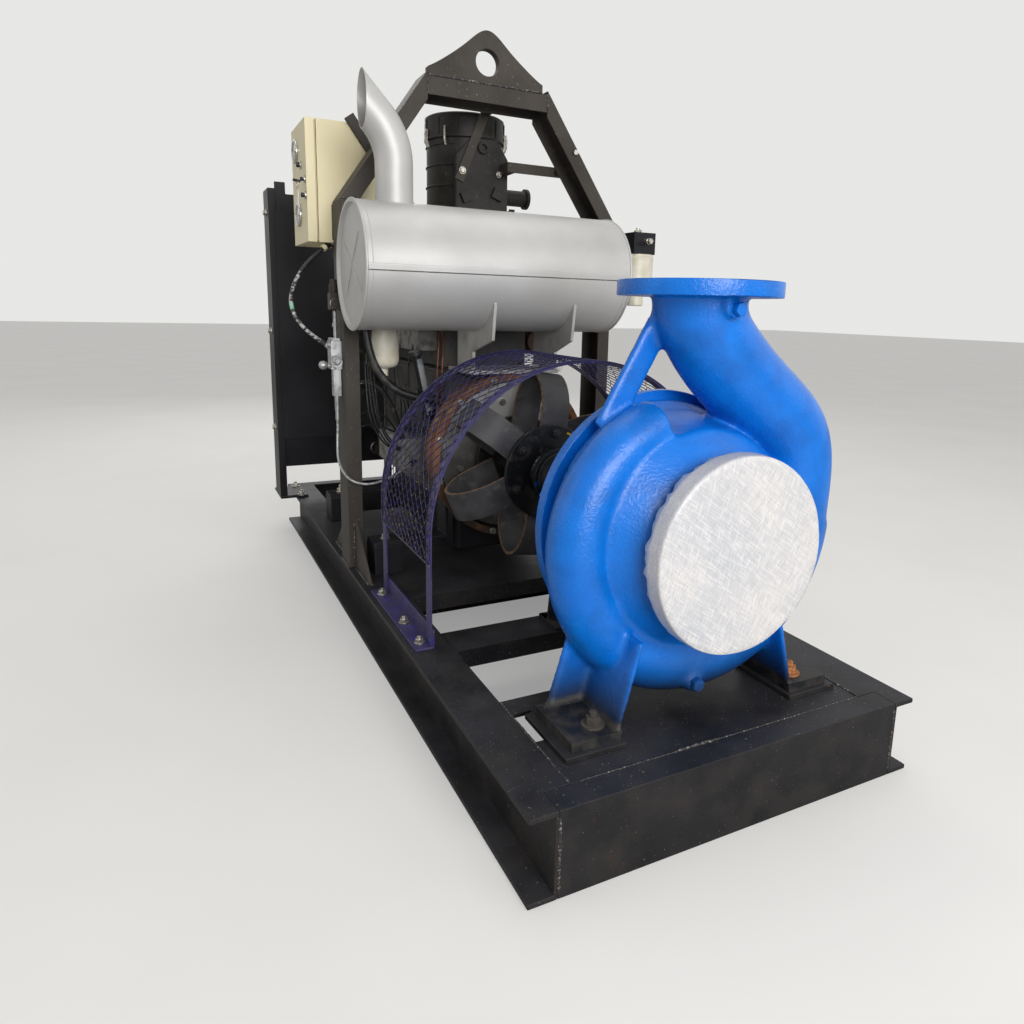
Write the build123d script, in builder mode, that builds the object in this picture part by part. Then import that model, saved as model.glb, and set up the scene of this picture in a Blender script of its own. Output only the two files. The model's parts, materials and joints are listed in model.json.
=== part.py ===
from build123d import *
import math
import os

os.makedirs("parts", exist_ok=True)

# Skid: two H beams joined by channels, everything else stands on it
skid_length = 2240
rail_height = 150
rail_flange_width = 94
rail_flange = 9
rail_web = 6
rail_gauge = 732
end_channel_width = 50
end_channel_wall = 8
cope_gap = 1
deck_depth = 270
deck_thickness = 9
deck_slot_width = 40
deck_slot_length = 95
cross_member_width = 100
cross_member_height = 42
cross_member_wall = 7
cross_member_stations = (547, 873)
bearer_width = 60
bearer_wall = 8
bearer_stations = (1090, 1640)
engine_deck_length = 746

# Pump, sizes of the common 150-400 end suction frame
suction_face = 50
discharge_station = 210
discharge_height = 450
suction_flange_radius = 170
suction_flange_thickness = 26
suction_neck_radius = 112
discharge_flange_radius = 142.5
discharge_flange_thickness = 26
discharge_bolt_circle = 240
discharge_bolt_count = 8
discharge_bolt_radius = 11
discharge_bore_radius = 75
discharge_bore_depth = 60
neck_radius = 79.5
volute_small_radius = 48
volute_large_radius = 80
volute_start_centre = 215
volute_end_centre = 250
volute_start_angle = 110
volute_end_angle = 360
# The spiral is widest level with its axis, so the axis may lie a little lower than that width
axis_drop = 5
pump_axis_height = rail_height + volute_end_centre + volute_large_radius - axis_drop
casing_core_radius = 200
casing_core_thickness = 130
casing_back = 300
foot_pad_thickness = 10
foot_pad_width = 118
foot_spacing = 486
foot_bolt_spacing = 450
foot_width = 86
foot_length = 134
foot_front = 104
foot_thickness = 18
foot_bolt_radius = 11
foot_bolt_inset = 37
foot_web = 14
foot_rib = 11
foot_web_drop = 125
strut_width = 50
strut_thickness = 16
plug_boss_radius = 17
plug_across_flats = 24
film_thickness = 1.8
film_gap = 0.3
film_wrap = 52

# Cover, bearing bracket and shaft behind the casing
cover_radius = 252
cover_thickness = 24
bracket_cone_radius = 150
bracket_barrel_radius = 58
bracket_cone_length = 110
bracket_back = 715
shaft_radius = 24
shaft_running_gap = 0.05
shaft_socket = 60
support_width = 150
support_thickness = 8

# Coupling with six looped straps
hub_disc_front = 749
hub_disc_thickness = 12
hub_disc_radius = 118
hub_boss_radius = 44
hub_boss_front = 723
hub_boss_back = 815
hub_fit_gap = 0.02
rear_disc_front = 930
rear_boss_radius = 60
strap_count = 6
strap_width = 75
strap_thickness = 8
strap_tip_radius = 240
strap_root_radius = 72
strap_first_angle = 22

# Flywheel and its housing
housing_front = 970
housing_radius = 225
housing_bore_radius = 205
housing_back = 1060
housing_wall = 14
flywheel_front = 985
flywheel_radius = 199
flywheel_thickness = 44
crank_radius = 45
crank_socket = 30

# Engine
engine_length = 660
block_width = 300
crank_to_pan = 145
crank_to_head = 225
block_bottom = pump_axis_height - crank_to_pan
block_top = pump_axis_height + crank_to_head
head_front = 110
head_height = 120
head_width = 260
valve_cover_height = 80
valve_cover_width = 170
valve_cover_inset = 20
pan_width = 250
pan_clearance = 35
pan_bottom = rail_height + pan_clearance
timing_case_depth = 60
mount_front = 1100
mount_rear = 1670
mount_pad_width = 82
mount_pad_length = 86
mount_pad_height = 82
mount_outer = 362
mount_plate = 10
mount_plate_length = 70
mount_cheek_overlap = 42

# Belt drive behind the timing case
belt_station = 1795
belt_width = 20
belt_thickness = 9
crank_pulley_radius = 75
fan_pulley_radius = 60
alternator_pulley_radius = 35
alternator_x = 215
alternator_rise = 125
alternator_height = pump_axis_height + alternator_rise
alternator_radius = 62
alternator_length = 130

# Fittings on the engine's sides
exhaust_log_x = 172
manifold_rise = 75
exhaust_log_height = block_top + manifold_rise
exhaust_log_radius = 32
port_radius = 18
port_spacing = 130
inlet_pipe_radius = 38
inlet_pipe_bend = 60
inlet_pipe_station = 1220
intake_log_width = 60
intake_log_height = 60
intake_stub = 20
duct_radius = 38
duct_bend = 58
duct_run_drop = 98
injection_width = 100
injection_front = 1175
injection_length = 245
injection_drop = 75
injection_height = 100
injection_bottom = pump_axis_height - injection_drop
injection_top = injection_bottom + injection_height
starter_radius = 45
starter_length = 190
starter_drop = 55
starter_height = pump_axis_height - starter_drop
oil_filler_radius = 12
oil_filler_station = 1162
oil_filler_foot = 85
oil_filler_top = 260
side_pipe_radius = 13
side_pipe_front = 1040
radiator_hose_radius = 22

# Radiator
radiator_inner = 447
radiator_channel = 25
radiator_front = 2000
radiator_depth = 120
radiator_top = 1261
radiator_foot_width = 100
radiator_foot_thickness = 8
shroud_thickness = 3
shroud_bottom = 378
shroud_top = 1180
shroud_depth = 50
shroud_opening_radius = 270
shroud_ring_depth = 60
tank_height = 110
tank_front_gap = 22
core_thickness = 70
lug_width = 37
lug_top = 1291
fan_radius = 240
fan_blades = 7
fan_blade_thickness = 4
fan_hub_radius = 60
fan_rise = 165
fan_height = pump_axis_height + fan_rise
fan_depth = 30


# Lifting frame
frame_front = 1150
frame_depth = 100
frame_outer = 408
frame_leg_width = 40
frame_wall = 5
frame_knee_height = 1135
beam_top = 1460
beam_bottom = 1414
beam_half_length = 175
gusset_length = 155
gusset_height = 135
gusset_thickness = 10
eye_thickness = 25
eye_centre = -8
eye_half_length = 166
eye_top = 1594
eye_hole_radius = 34
eye_hole_height = 1515

# Silencer
silencer_station = 991
silencer_rise = 263
silencer_height = block_top + silencer_rise
silencer_radius = 152
silencer_left = -424
silencer_right = 278
silencer_end_recess = 8
silencer_rim = 5
silencer_wall = 2
outlet_x = -314
outlet_radius = 45
outlet_wall = 2
outlet_rise = 237
outlet_straight_top = silencer_height + outlet_rise
outlet_overrun = 140
outlet_mouth_cut = 300
outlet_bend_radius = 150
outlet_bend = 43
outlet_mouth_x = -388
bracket_thickness = 8
bracket_left_x = -102
bracket_left_leg = 1001
bracket_left_back = 1113
bracket_right_x = 121
bracket_right_leg = 962
bracket_right_back = 1091
bracket_knee_drop = 206
saddle_thickness = 10


# Guard over the coupling
guard_front = 579
guard_length = 376
guard_radius = 366
guard_drop = 80
guard_centre_height = pump_axis_height - guard_drop
guard_mesh_bottom = 337
hoop_width = 30
hoop_thickness = 4
mesh_thickness = 3
mesh_rib = 4
mesh_rows = 9
foot_angle_leg = 43
foot_angle_thickness = 5

# Control panel
panel_front = 1262
panel_length = 212
panel_outer = 470
panel_depth = 220
panel_bottom = 1033
panel_top = 1343
panel_wall = 2
door_depth = 23
door_gap = 5
door_wall = 2
gauge_radius = 30
gauge_depth = 9
hinge_radius = 4
hinge_knuckle = 7.5
hinge_clearance = 0.05
hinge_offset = 8
hinge_knuckle_length = 26
hinge_length = 70
hinge_inset = 60
stay_width = 27

# Air filter
air_filter_x = 34
air_filter_station = 1430
air_filter_radius = 115
air_filter_rise = 160
air_filter_body = 305
air_filter_lid = 60
air_filter_bottom = block_top + head_height + valve_cover_height + air_filter_rise
air_filter_lid_foot = air_filter_bottom + air_filter_body
air_filter_top = air_filter_lid_foot + air_filter_lid
air_filter_lid_radius = 120
filter_face = 1310
filter_stub_radius = 24
filter_stub_rise = 152
filter_bar_thickness = 6
filter_bar_height = 28
filter_strut_width = 27

# Fuel filters
left_filter_x = -300
left_filter_station = 1195
left_filter_radius = 42
left_filter_bottom = 705
left_filter_top = 880
filter_cap_radius = 15
filter_cap_height = 25
filter_head_height = 20
filter_shelf_thickness = 6
right_filter_x = 437
right_filter_station = 1060
right_filter_radius = 49
right_filter_bottom = 925
right_filter_top = 1035
right_filter_head_top = 1096
right_cup_radius = 24
right_cup_height = 38

# Throttle actuator on the left post
actuator_depth = 28
actuator_front = 1182
actuator_length = 46
actuator_bottom = 700
actuator_top = 775
clevis_bottom = 627
ferrule_bottom = 591
lever_radius = 15

# Cords
panel_cable_radius = 5
throttle_cable_radius = 3.5
large_hose_radius = 11
small_hose_radius = 7
fillet_share = 0.45


front = -skid_length / 2
left = -1
right = 1
pump_axis = Axis((0, 0, pump_axis_height), (0, 1, 0))
discharge_top = pump_axis_height + discharge_height
web_inner = rail_gauge / 2 - rail_web / 2
flange_inner = rail_gauge / 2 - rail_flange_width / 2
deck_underside = rail_height - deck_thickness


def station(distance):
    """The upright plane across the skid, at a distance behind its front edge; x is right and y is up."""
    return Plane.XZ.offset(-(front + distance))


def axial(height):
    """The plane along the skid for turned shapes: x is the distance from the front edge, y the radius."""
    return Plane(origin=(0, front, height), x_dir=(0, 1, 0), z_dir=(1, 0, 0))


def side(x):
    """The upright plane along the skid at x: its x is the distance from the front edge, its y is up."""
    return Plane(origin=(x, front, 0), x_dir=(0, 1, 0), z_dir=(1, 0, 0))


# Rails
def add_rail(centre):
    with BuildSketch(station(0)) as profile:
        with Locations((centre, rail_height / 2)):
            Rectangle(rail_web, rail_height)
        for level in (rail_flange / 2, rail_height - rail_flange / 2):
            with Locations((centre, level)):
                Rectangle(rail_flange_width, rail_flange)
    extrude(profile.sketch, amount=-skid_length)
    inward = -math.copysign(1, centre)
    cope_width = rail_flange_width / 2 - rail_web / 2
    cope_centre = centre + inward * (rail_web / 2 + cope_width / 2)
    cope_length = end_channel_width + cope_gap
    for end in (cope_length / 2, skid_length - cope_length / 2):
        with Locations((cope_centre, front + end, rail_height / 2)):
            Box(cope_width, cope_length, rail_height, mode=Mode.SUBTRACT)


with BuildPart() as rails:
    add_rail(-rail_gauge / 2)
    add_rail(rail_gauge / 2)
rails.part.label = "rails"
export_step(rails.part, "parts/rails.step")


# Channels across the skid
def channel_profile(web_at, width, height, wall, foot):
    """A channel seen from the side, its web at web_at and its flanges reaching by width, up from foot."""
    reach = math.copysign(1, width)
    with Locations((web_at + reach * wall / 2, foot + height / 2)):
        Rectangle(wall, height)
    for level in (foot + wall / 2, foot + height - wall / 2):
        with Locations((web_at + width / 2, level)):
            Rectangle(abs(width), wall)


with BuildPart() as end_channels:
    with BuildSketch(side(-web_inner)):
        channel_profile(0, end_channel_width, rail_height, end_channel_wall, 0)
        channel_profile(skid_length, -end_channel_width, rail_height, end_channel_wall, 0)
    extrude(amount=2 * web_inner)
end_channels.part.label = "end_channels"
export_step(end_channels.part, "parts/end_channels.step")

with BuildPart() as cross_members:
    for start in cross_member_stations:
        middle = start + cross_member_width / 2
        with BuildSketch(side(-flange_inner)):
            with Locations((middle, rail_height - cross_member_height / 2)):
                Rectangle(cross_member_width, cross_member_height)
            with Locations((middle, rail_height - cross_member_height / 2 - cross_member_wall)):
                Rectangle(cross_member_width - 2 * cross_member_wall, cross_member_height, mode=Mode.SUBTRACT)
        extrude(amount=2 * flange_inner)
    # Engine bearers: upright channels of the rails' full height, their webs reaching to the rails' webs
    for start in bearer_stations:
        with BuildSketch(side(-flange_inner)):
            channel_profile(start, bearer_width, deck_underside, bearer_wall, 0)
        extrude(amount=2 * flange_inner)
        with BuildSketch(side(-web_inner)):
            with Locations((start + bearer_wall / 2, rail_height / 2)):
                Rectangle(bearer_wall, rail_height - 2 * rail_flange)
        extrude(amount=2 * web_inner)
cross_members.part.label = "cross_members"
export_step(cross_members.part, "parts/cross_members.step")

# Deck plates under the pump and under the engine
engine_deck_front = cross_member_stations[1] + cross_member_width + 1
with BuildPart() as decks:
    with Locations((0, front + engine_deck_front + engine_deck_length / 2, rail_height - deck_thickness / 2)):
        Box(2 * flange_inner, engine_deck_length, deck_thickness)
    with Locations((0, front + end_channel_width + deck_depth / 2, rail_height - deck_thickness / 2)):
        Box(2 * flange_inner, deck_depth, deck_thickness)
    slot_centre = end_channel_width + deck_depth - 50 - deck_slot_length / 2
    with Locations((-flange_inner + deck_slot_width / 2, front + slot_centre, rail_height)):
        Box(deck_slot_width, deck_slot_length, 4 * deck_thickness, mode=Mode.SUBTRACT)
decks.part.label = "decks"
export_step(decks.part, "parts/decks.step")

pad_centre = foot_front + foot_length / 2
with BuildPart() as foot_pads:
    for hand in (left, right):
        with Locations((hand * foot_spacing / 2, front + pad_centre, rail_height + foot_pad_thickness / 2)):
            Box(foot_pad_width, foot_length + 20, foot_pad_thickness)
foot_pads.part.label = "foot_pads"
export_step(foot_pads.part, "parts/foot_pads.step")

# Pump casing: spiral, suction nozzle, rising discharge neck, feet and strut in one casting
foot_base = rail_height + foot_pad_thickness
foot_top = foot_base + foot_thickness
foot_rise = pump_axis_height - foot_web_drop - foot_base


def spiral_share(angle):
    return (angle - volute_start_angle) / (volute_end_angle - volute_start_angle)


def spiral_radius(angle):
    return volute_small_radius + (volute_large_radius - volute_small_radius) * spiral_share(angle)


def spiral_centre(angle):
    return volute_start_centre + (volute_end_centre - volute_start_centre) * spiral_share(angle)


def upright_ring_plane(x, z, heading):
    """A plane square to a path that runs across the skid's width; heading is measured up from right."""
    direction = (math.cos(math.radians(heading)), 0, math.sin(math.radians(heading)))
    return Plane(origin=(x, front + discharge_station, z), x_dir=(0, 1, 0), z_dir=direction)


# The neck's middle line from the end of the spiral up to the flange: across, up, heading
neck_path = (
    (spiral_centre(volute_end_angle), pump_axis_height, 90),
    (spiral_centre(volute_end_angle) - 4, pump_axis_height + 115, 102),
    (205, pump_axis_height + 200, 128),
    (124, pump_axis_height + 263, 141),
    (56, pump_axis_height + 323, 133),
    (20, pump_axis_height + 367, 113),
    (4, pump_axis_height + 417, 94),
)
neck_top = pump_axis_height + 417


with BuildPart() as pump_casing:
    with BuildSketch(axial(pump_axis_height)):
        with BuildLine():
            Polyline(
                (suction_face, 0),
                (suction_face, suction_flange_radius),
                (suction_face + suction_flange_thickness, suction_flange_radius),
                (suction_face + suction_flange_thickness, suction_neck_radius),
                (suction_face + suction_flange_thickness + 14, suction_neck_radius),
                (discharge_station - casing_core_thickness / 2 + 12, casing_core_radius),
                (casing_back - 26, casing_core_radius + 22),
                (casing_back, cover_radius - 14),
                (casing_back, 0),
                close=True,
            )
        make_face()
    revolve(axis=pump_axis)
    spiral_steps = 7
    for step in range(spiral_steps + 1):
        angle = volute_start_angle + step * (volute_end_angle - volute_start_angle) / spiral_steps
        reach = spiral_centre(angle)
        across = reach * math.cos(math.radians(angle))
        up = pump_axis_height + reach * math.sin(math.radians(angle))
        with BuildSketch(upright_ring_plane(across, up, angle + 90)):
            Circle(spiral_radius(angle))
    loft()
    for index, (across, up, heading) in enumerate(neck_path):
        with BuildSketch(upright_ring_plane(across, up, heading)):
            Circle(volute_large_radius + (neck_radius - volute_large_radius) * index / (len(neck_path) - 1))
    loft()
    with BuildSketch(Plane.XY.offset(discharge_top)):
        with Locations((0, front + discharge_station)):
            Circle(discharge_flange_radius)
    extrude(amount=-discharge_flange_thickness)
    with BuildSketch(Plane.XY.offset(neck_top - 18)):
        with Locations((0, front + discharge_station)):
            Circle(neck_radius)
    extrude(amount=discharge_top - neck_top + 18 - discharge_flange_thickness / 2)
    # Feet: base plate, upright web across and a rib along the inner side
    for hand in (left, right):
        foot_x = hand * foot_spacing / 2
        with BuildSketch(Plane.XY.offset(foot_base)):
            with Locations((foot_x, front + pad_centre)):
                Rectangle(foot_width, foot_length)
        extrude(amount=foot_thickness)
        inner = foot_x - hand * (foot_width / 2 - 4)
        outer = foot_x + hand * (foot_width / 2 - 12)
        with BuildSketch(station(foot_front + foot_length)):
            with BuildLine():
                Polyline(
                    (outer, foot_base),
                    (outer - hand * 58, foot_base + foot_rise),
                    (inner - hand * 60, foot_base + foot_rise),
                    (inner, foot_base),
                    close=True,
                )
            make_face()
        extrude(amount=foot_web)
        with BuildSketch(station(foot_front + foot_length)):
            with BuildLine():
                Polyline(
                    (inner, foot_base),
                    (inner - hand * 45, foot_base + foot_rise - 22),
                    (inner - hand * 45 - hand * foot_rib, foot_base + foot_rise - 22),
                    (inner - hand * foot_rib, foot_base),
                    close=True,
                )
            make_face()
        extrude(amount=foot_length)
    # Strut from the neck down to the rim of the spiral
    strut_top = (-40, pump_axis_height + 392)
    strut_foot = (-154, pump_axis_height + 190)
    lean = math.degrees(math.atan2(strut_top[1] - strut_foot[1], strut_top[0] - strut_foot[0]))
    strut_run = math.hypot(strut_top[1] - strut_foot[1], strut_top[0] - strut_foot[0])
    with BuildSketch(station(discharge_station + 52)):
        with Locations(((strut_top[0] + strut_foot[0]) / 2, (strut_top[1] + strut_foot[1]) / 2)):
            Rectangle(strut_run, strut_width, rotation=lean)
    extrude(amount=strut_thickness)
    # Bosses for the screwed plugs, one on the neck and one low on the spiral
    with BuildSketch(station(discharge_station - neck_radius - 14)):
        with Locations((0, pump_axis_height + 408)):
            Circle(plug_boss_radius)
    extrude(amount=-40)
    with BuildSketch(station(discharge_station - 72)):
        with Locations((-9, pump_axis_height - 268)):
            Circle(plug_boss_radius)
    extrude(amount=-50)
    with Locations((0, front + discharge_station, discharge_top)):
        Hole(discharge_bore_radius, discharge_bore_depth)
    with Locations((0, front + discharge_station, discharge_top)):
        with PolarLocations(discharge_bolt_circle / 2, discharge_bolt_count, start_angle=180 / discharge_bolt_count):
            Hole(discharge_bolt_radius, discharge_flange_thickness)
    for hand in (left, right):
        with Locations((hand * foot_bolt_spacing / 2, front + foot_front + foot_bolt_inset, foot_top)):
            Hole(foot_bolt_radius, foot_thickness)
pump_casing.part.label = "pump_casing"
export_step(pump_casing.part, "parts/pump_casing.step")

# Film wrapped over the suction flange as transport cover
film_inner = suction_flange_radius + film_gap
with BuildPart() as suction_film:
    with BuildSketch(axial(pump_axis_height)):
        with BuildLine():
            Polyline(
                (suction_face - film_gap - film_thickness, 0),
                (suction_face - film_gap - film_thickness, film_inner + film_thickness),
                (suction_face + film_wrap, film_inner + film_thickness),
                (suction_face + film_wrap, film_inner),
                (suction_face - film_gap, film_inner),
                (suction_face - film_gap, 0),
                close=True,
            )
        make_face()
    revolve(axis=pump_axis)
suction_film.part.label = "suction_film"
export_step(suction_film.part, "parts/suction_film.step")

# Casing cover
with BuildPart() as casing_cover:
    with BuildSketch(station(casing_back)):
        with Locations((0, pump_axis_height)):
            Circle(cover_radius)
    extrude(amount=-cover_thickness)
    with BuildSketch(station(casing_back + cover_thickness)):
        with Locations((0, pump_axis_height)):
            Circle(bracket_cone_radius + 20)
    extrude(amount=-14)
casing_cover.part.label = "casing_cover"
export_step(casing_cover.part, "parts/casing_cover.step")

# Bearing bracket: open cone, then the barrel that carries the shaft
bracket_front = casing_back + cover_thickness + 14
with BuildPart() as bearing_bracket:
    with BuildSketch(axial(pump_axis_height)):
        with BuildLine():
            Polyline(
                (bracket_front, 0),
                (bracket_front, bracket_cone_radius),
                (bracket_front + 16, bracket_cone_radius),
                (bracket_front + bracket_cone_length, bracket_barrel_radius + 6),
                (bracket_front + bracket_cone_length, bracket_barrel_radius),
                (bracket_back - 24, bracket_barrel_radius),
                (bracket_back - 24, bracket_barrel_radius + 12),
                (bracket_back, bracket_barrel_radius + 8),
                (bracket_back, shaft_radius + shaft_running_gap),
                (bracket_back - shaft_socket, shaft_radius + shaft_running_gap),
                (bracket_back - shaft_socket, 0),
                close=True,
            )
        make_face()
    revolve(axis=pump_axis)
bearing_bracket.part.label = "bearing_bracket"
export_step(bearing_bracket.part, "parts/bearing_bracket.step")

# Sheet support under the bracket's barrel, standing on the first cross member
support_station = cross_member_stations[0] + cross_member_width / 2
with BuildPart() as bracket_support:
    with BuildSketch(station(support_station)):
        with BuildLine():
            Polyline(
                (-support_width / 2, rail_height),
                (-support_width / 3, pump_axis_height - bracket_barrel_radius + 20),
                (support_width / 3, pump_axis_height - bracket_barrel_radius + 20),
                (support_width / 2, rail_height),
                close=True,
            )
        make_face()
        with Locations((0, pump_axis_height)):
            Circle(bracket_barrel_radius, mode=Mode.SUBTRACT)
    extrude(amount=-support_thickness)
    with Locations((0, front + support_station, rail_height + support_thickness / 2)):
        Box(support_width, cross_member_width - 8, support_thickness)
bracket_support.part.label = "bracket_support"
export_step(bracket_support.part, "parts/bracket_support.step")

# Shaft
with BuildPart() as pump_shaft:
    with BuildSketch(station(bracket_back - shaft_socket + 1)):
        with Locations((0, pump_axis_height)):
            Circle(shaft_radius)
    extrude(amount=-(hub_boss_back - bracket_back + shaft_socket - 1))
pump_shaft.part.label = "pump_shaft"
export_step(pump_shaft.part, "parts/pump_shaft.step")

# Coupling hubs
with BuildPart() as coupling_front_hub:
    with BuildSketch(axial(pump_axis_height)):
        bore = shaft_radius + hub_fit_gap
        with BuildLine():
            Polyline(
                (hub_boss_front, bore),
                (hub_boss_front, hub_boss_radius - 4),
                (hub_disc_front - 6, hub_boss_radius),
                (hub_disc_front, hub_boss_radius + 10),
                (hub_disc_front, hub_disc_radius),
                (hub_disc_front + hub_disc_thickness, hub_disc_radius),
                (hub_disc_front + hub_disc_thickness, hub_boss_radius),
                (hub_boss_back, hub_boss_radius),
                (hub_boss_back, bore),
                close=True,
            )
        make_face()
    revolve(axis=pump_axis)
coupling_front_hub.part.label = "coupling_front_hub"
export_step(coupling_front_hub.part, "parts/coupling_front_hub.step")

with BuildPart() as coupling_rear_hub:
    with BuildSketch(axial(pump_axis_height)):
        with BuildLine():
            Polyline(
                (rear_disc_front, 0),
                (rear_disc_front, hub_disc_radius),
                (rear_disc_front + hub_disc_thickness, hub_disc_radius),
                (rear_disc_front + hub_disc_thickness, rear_boss_radius),
                (flywheel_front, rear_boss_radius),
                (flywheel_front, 0),
                close=True,
            )
        make_face()
    revolve(axis=pump_axis)
coupling_rear_hub.part.label = "coupling_rear_hub"
export_step(coupling_rear_hub.part, "parts/coupling_rear_hub.step")

# Straps: each leaves the front disc outwards, turns over at its tip and comes back to the rear disc
strap_front = hub_disc_front + hub_disc_thickness
strap_middle = (strap_front + rear_disc_front) / 2
strap_half = (rear_disc_front - strap_front) / 2
with BuildPart() as coupling_straps:
    for index in range(strap_count):
        turn = strap_first_angle + index * 360 / strap_count
        spoke = (math.cos(math.radians(turn)), 0, math.sin(math.radians(turn)))
        across = (-math.sin(math.radians(turn)), 0, math.cos(math.radians(turn)))
        middle = Plane(origin=(0, front + strap_middle, pump_axis_height), x_dir=(0, 1, 0), z_dir=across)
        outward = 1 if middle.y_dir.dot(Vector(*spoke)) > 0 else -1
        with BuildSketch(middle) as loop:
            bend = hub_disc_radius + 20
            with BuildLine():
                Polyline((-strap_half, outward * bend), (-strap_half, outward * strap_root_radius),
                         (strap_half, outward * strap_root_radius), (strap_half, outward * bend))
                Spline((strap_half, outward * bend), (0, outward * strap_tip_radius), (-strap_half, outward * bend),
                       tangents=((0, outward), (0, -outward)), tangent_scalars=(1.2, 1.2))
            make_face()
            with BuildLine():
                inner_half = strap_half - strap_thickness
                inner_tip = strap_tip_radius - strap_thickness
                Polyline((-inner_half, outward * bend), (-inner_half, outward * (strap_root_radius - 1)),
                         (inner_half, outward * (strap_root_radius - 1)), (inner_half, outward * bend))
                Spline((inner_half, outward * bend), (0, outward * inner_tip), (-inner_half, outward * bend),
                       tangents=((0, outward), (0, -outward)), tangent_scalars=(1.2, 1.2))
            make_face(mode=Mode.SUBTRACT)
        extrude(amount=strap_width / 2, both=True)
coupling_straps.part.label = "coupling_straps"
export_step(coupling_straps.part, "parts/coupling_straps.step")

# Flywheel with the stub of its crankshaft
with BuildPart() as flywheel:
    with BuildSketch(station(flywheel_front)):
        with Locations((0, pump_axis_height)):
            Circle(flywheel_radius)
    extrude(amount=-flywheel_thickness)
    with BuildSketch(station(flywheel_front + flywheel_thickness)):
        with Locations((0, pump_axis_height)):
            Circle(crank_radius)
    extrude(amount=-(housing_back - flywheel_front - flywheel_thickness + crank_socket - 1))
flywheel.part.label = "flywheel"
export_step(flywheel.part, "parts/flywheel.step")

with BuildPart() as flywheel_housing:
    with BuildSketch(axial(pump_axis_height)):
        crank_bore = crank_radius + shaft_running_gap
        with BuildLine():
            Polyline(
                (housing_front, housing_bore_radius),
                (housing_front, housing_radius),
                (housing_front + 18, housing_radius),
                (housing_front + 18, housing_bore_radius + housing_wall),
                (housing_back, housing_bore_radius + housing_wall),
                (housing_back, crank_bore),
                (housing_back - housing_wall, crank_bore),
                (housing_back - housing_wall, housing_bore_radius),
                close=True,
            )
        make_face()
    revolve(axis=pump_axis)
flywheel_housing.part.label = "flywheel_housing"
export_step(flywheel_housing.part, "parts/flywheel_housing.step")

# Engine
engine_back = housing_back + engine_length
engine_middle = housing_back + engine_length / 2
with BuildPart() as engine_block:
    with Locations((0, front + engine_middle, (block_bottom + block_top) / 2)):
        Box(block_width, engine_length, block_top - block_bottom)
    with BuildSketch(station(housing_back)):
        with Locations((0, pump_axis_height)):
            Circle(crank_radius + shaft_running_gap)
    extrude(amount=-crank_socket, mode=Mode.SUBTRACT)
engine_block.part.label = "engine_block"
export_step(engine_block.part, "parts/engine_block.step")

with BuildPart() as oil_pan:
    with Locations((0, front + engine_middle, (pan_bottom + block_bottom) / 2)):
        Box(pan_width, engine_length - 40, block_bottom - pan_bottom)
    fillet(oil_pan.edges().filter_by(Axis.Z), 20)
oil_pan.part.label = "oil_pan"
export_step(oil_pan.part, "parts/oil_pan.step")

head_length = engine_length - head_front
head_middle = housing_back + head_front + head_length / 2
head_top = block_top + head_height
with BuildPart() as cylinder_head:
    with Locations((0, front + head_middle, block_top + head_height / 2)):
        Box(head_width, head_length, head_height)
cylinder_head.part.label = "cylinder_head"
export_step(cylinder_head.part, "parts/cylinder_head.step")

with BuildPart() as valve_cover:
    with Locations((0, front + head_middle, head_top + valve_cover_height / 2)):
        Box(valve_cover_width, head_length - 2 * valve_cover_inset, valve_cover_height)
    fillet(valve_cover.edges().group_by(Axis.Z)[-1], 14)
valve_cover.part.label = "valve_cover"
export_step(valve_cover.part, "parts/valve_cover.step")

# Timing case with the fan's bearing, and the crankshaft's pulley
timing_back = engine_back + timing_case_depth
fan_station = radiator_front - fan_depth - 10
with BuildPart() as timing_case:
    with Locations((0, front + engine_back + timing_case_depth / 2, (block_bottom + block_top) / 2 + 10)):
        Box(block_width - 30, timing_case_depth, block_top - block_bottom - 60)
    with BuildSketch(station(timing_back)):
        with Locations((0, fan_height)):
            Circle(fan_hub_radius - 20)
    extrude(amount=-(fan_station - timing_back))
    with BuildSketch(station(belt_station - 4)):
        with Locations((0, fan_height)):
            Circle(fan_pulley_radius)
    extrude(amount=-(belt_width + 8))
    with BuildSketch(station(timing_back)):
        with Locations((0, pump_axis_height)):
            Circle(crank_pulley_radius - 30)
    extrude(amount=-(belt_station - 4 - timing_back))
    with BuildSketch(station(belt_station - 4)):
        with Locations((0, pump_axis_height)):
            Circle(crank_pulley_radius)
    extrude(amount=-(belt_width + 8))
timing_case.part.label = "timing_case"
export_step(timing_case.part, "parts/timing_case.step")

# Alternator: carried by a lug on the block's right side, its pulley in line with the belt
alternator_back = belt_station - 14
with BuildPart() as alternator:
    with BuildSketch(station(alternator_back)):
        with Locations((alternator_x, alternator_height)):
            Circle(alternator_radius)
    extrude(amount=alternator_length)
    with BuildSketch(station(alternator_back)):
        with Locations((alternator_x, alternator_height)):
            Circle(alternator_pulley_radius - 12)
    extrude(amount=-10)
    with BuildSketch(station(belt_station - 4)):
        with Locations((alternator_x, alternator_height)):
            Circle(alternator_pulley_radius)
    extrude(amount=-(belt_width + 8))
    lug_reach = alternator_x - block_width / 2
    with Locations((block_width / 2 + lug_reach / 2, front + engine_back - 60, alternator_height)):
        Box(lug_reach, 30, 24)
alternator.part.label = "alternator"
export_step(alternator.part, "parts/alternator.step")

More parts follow.
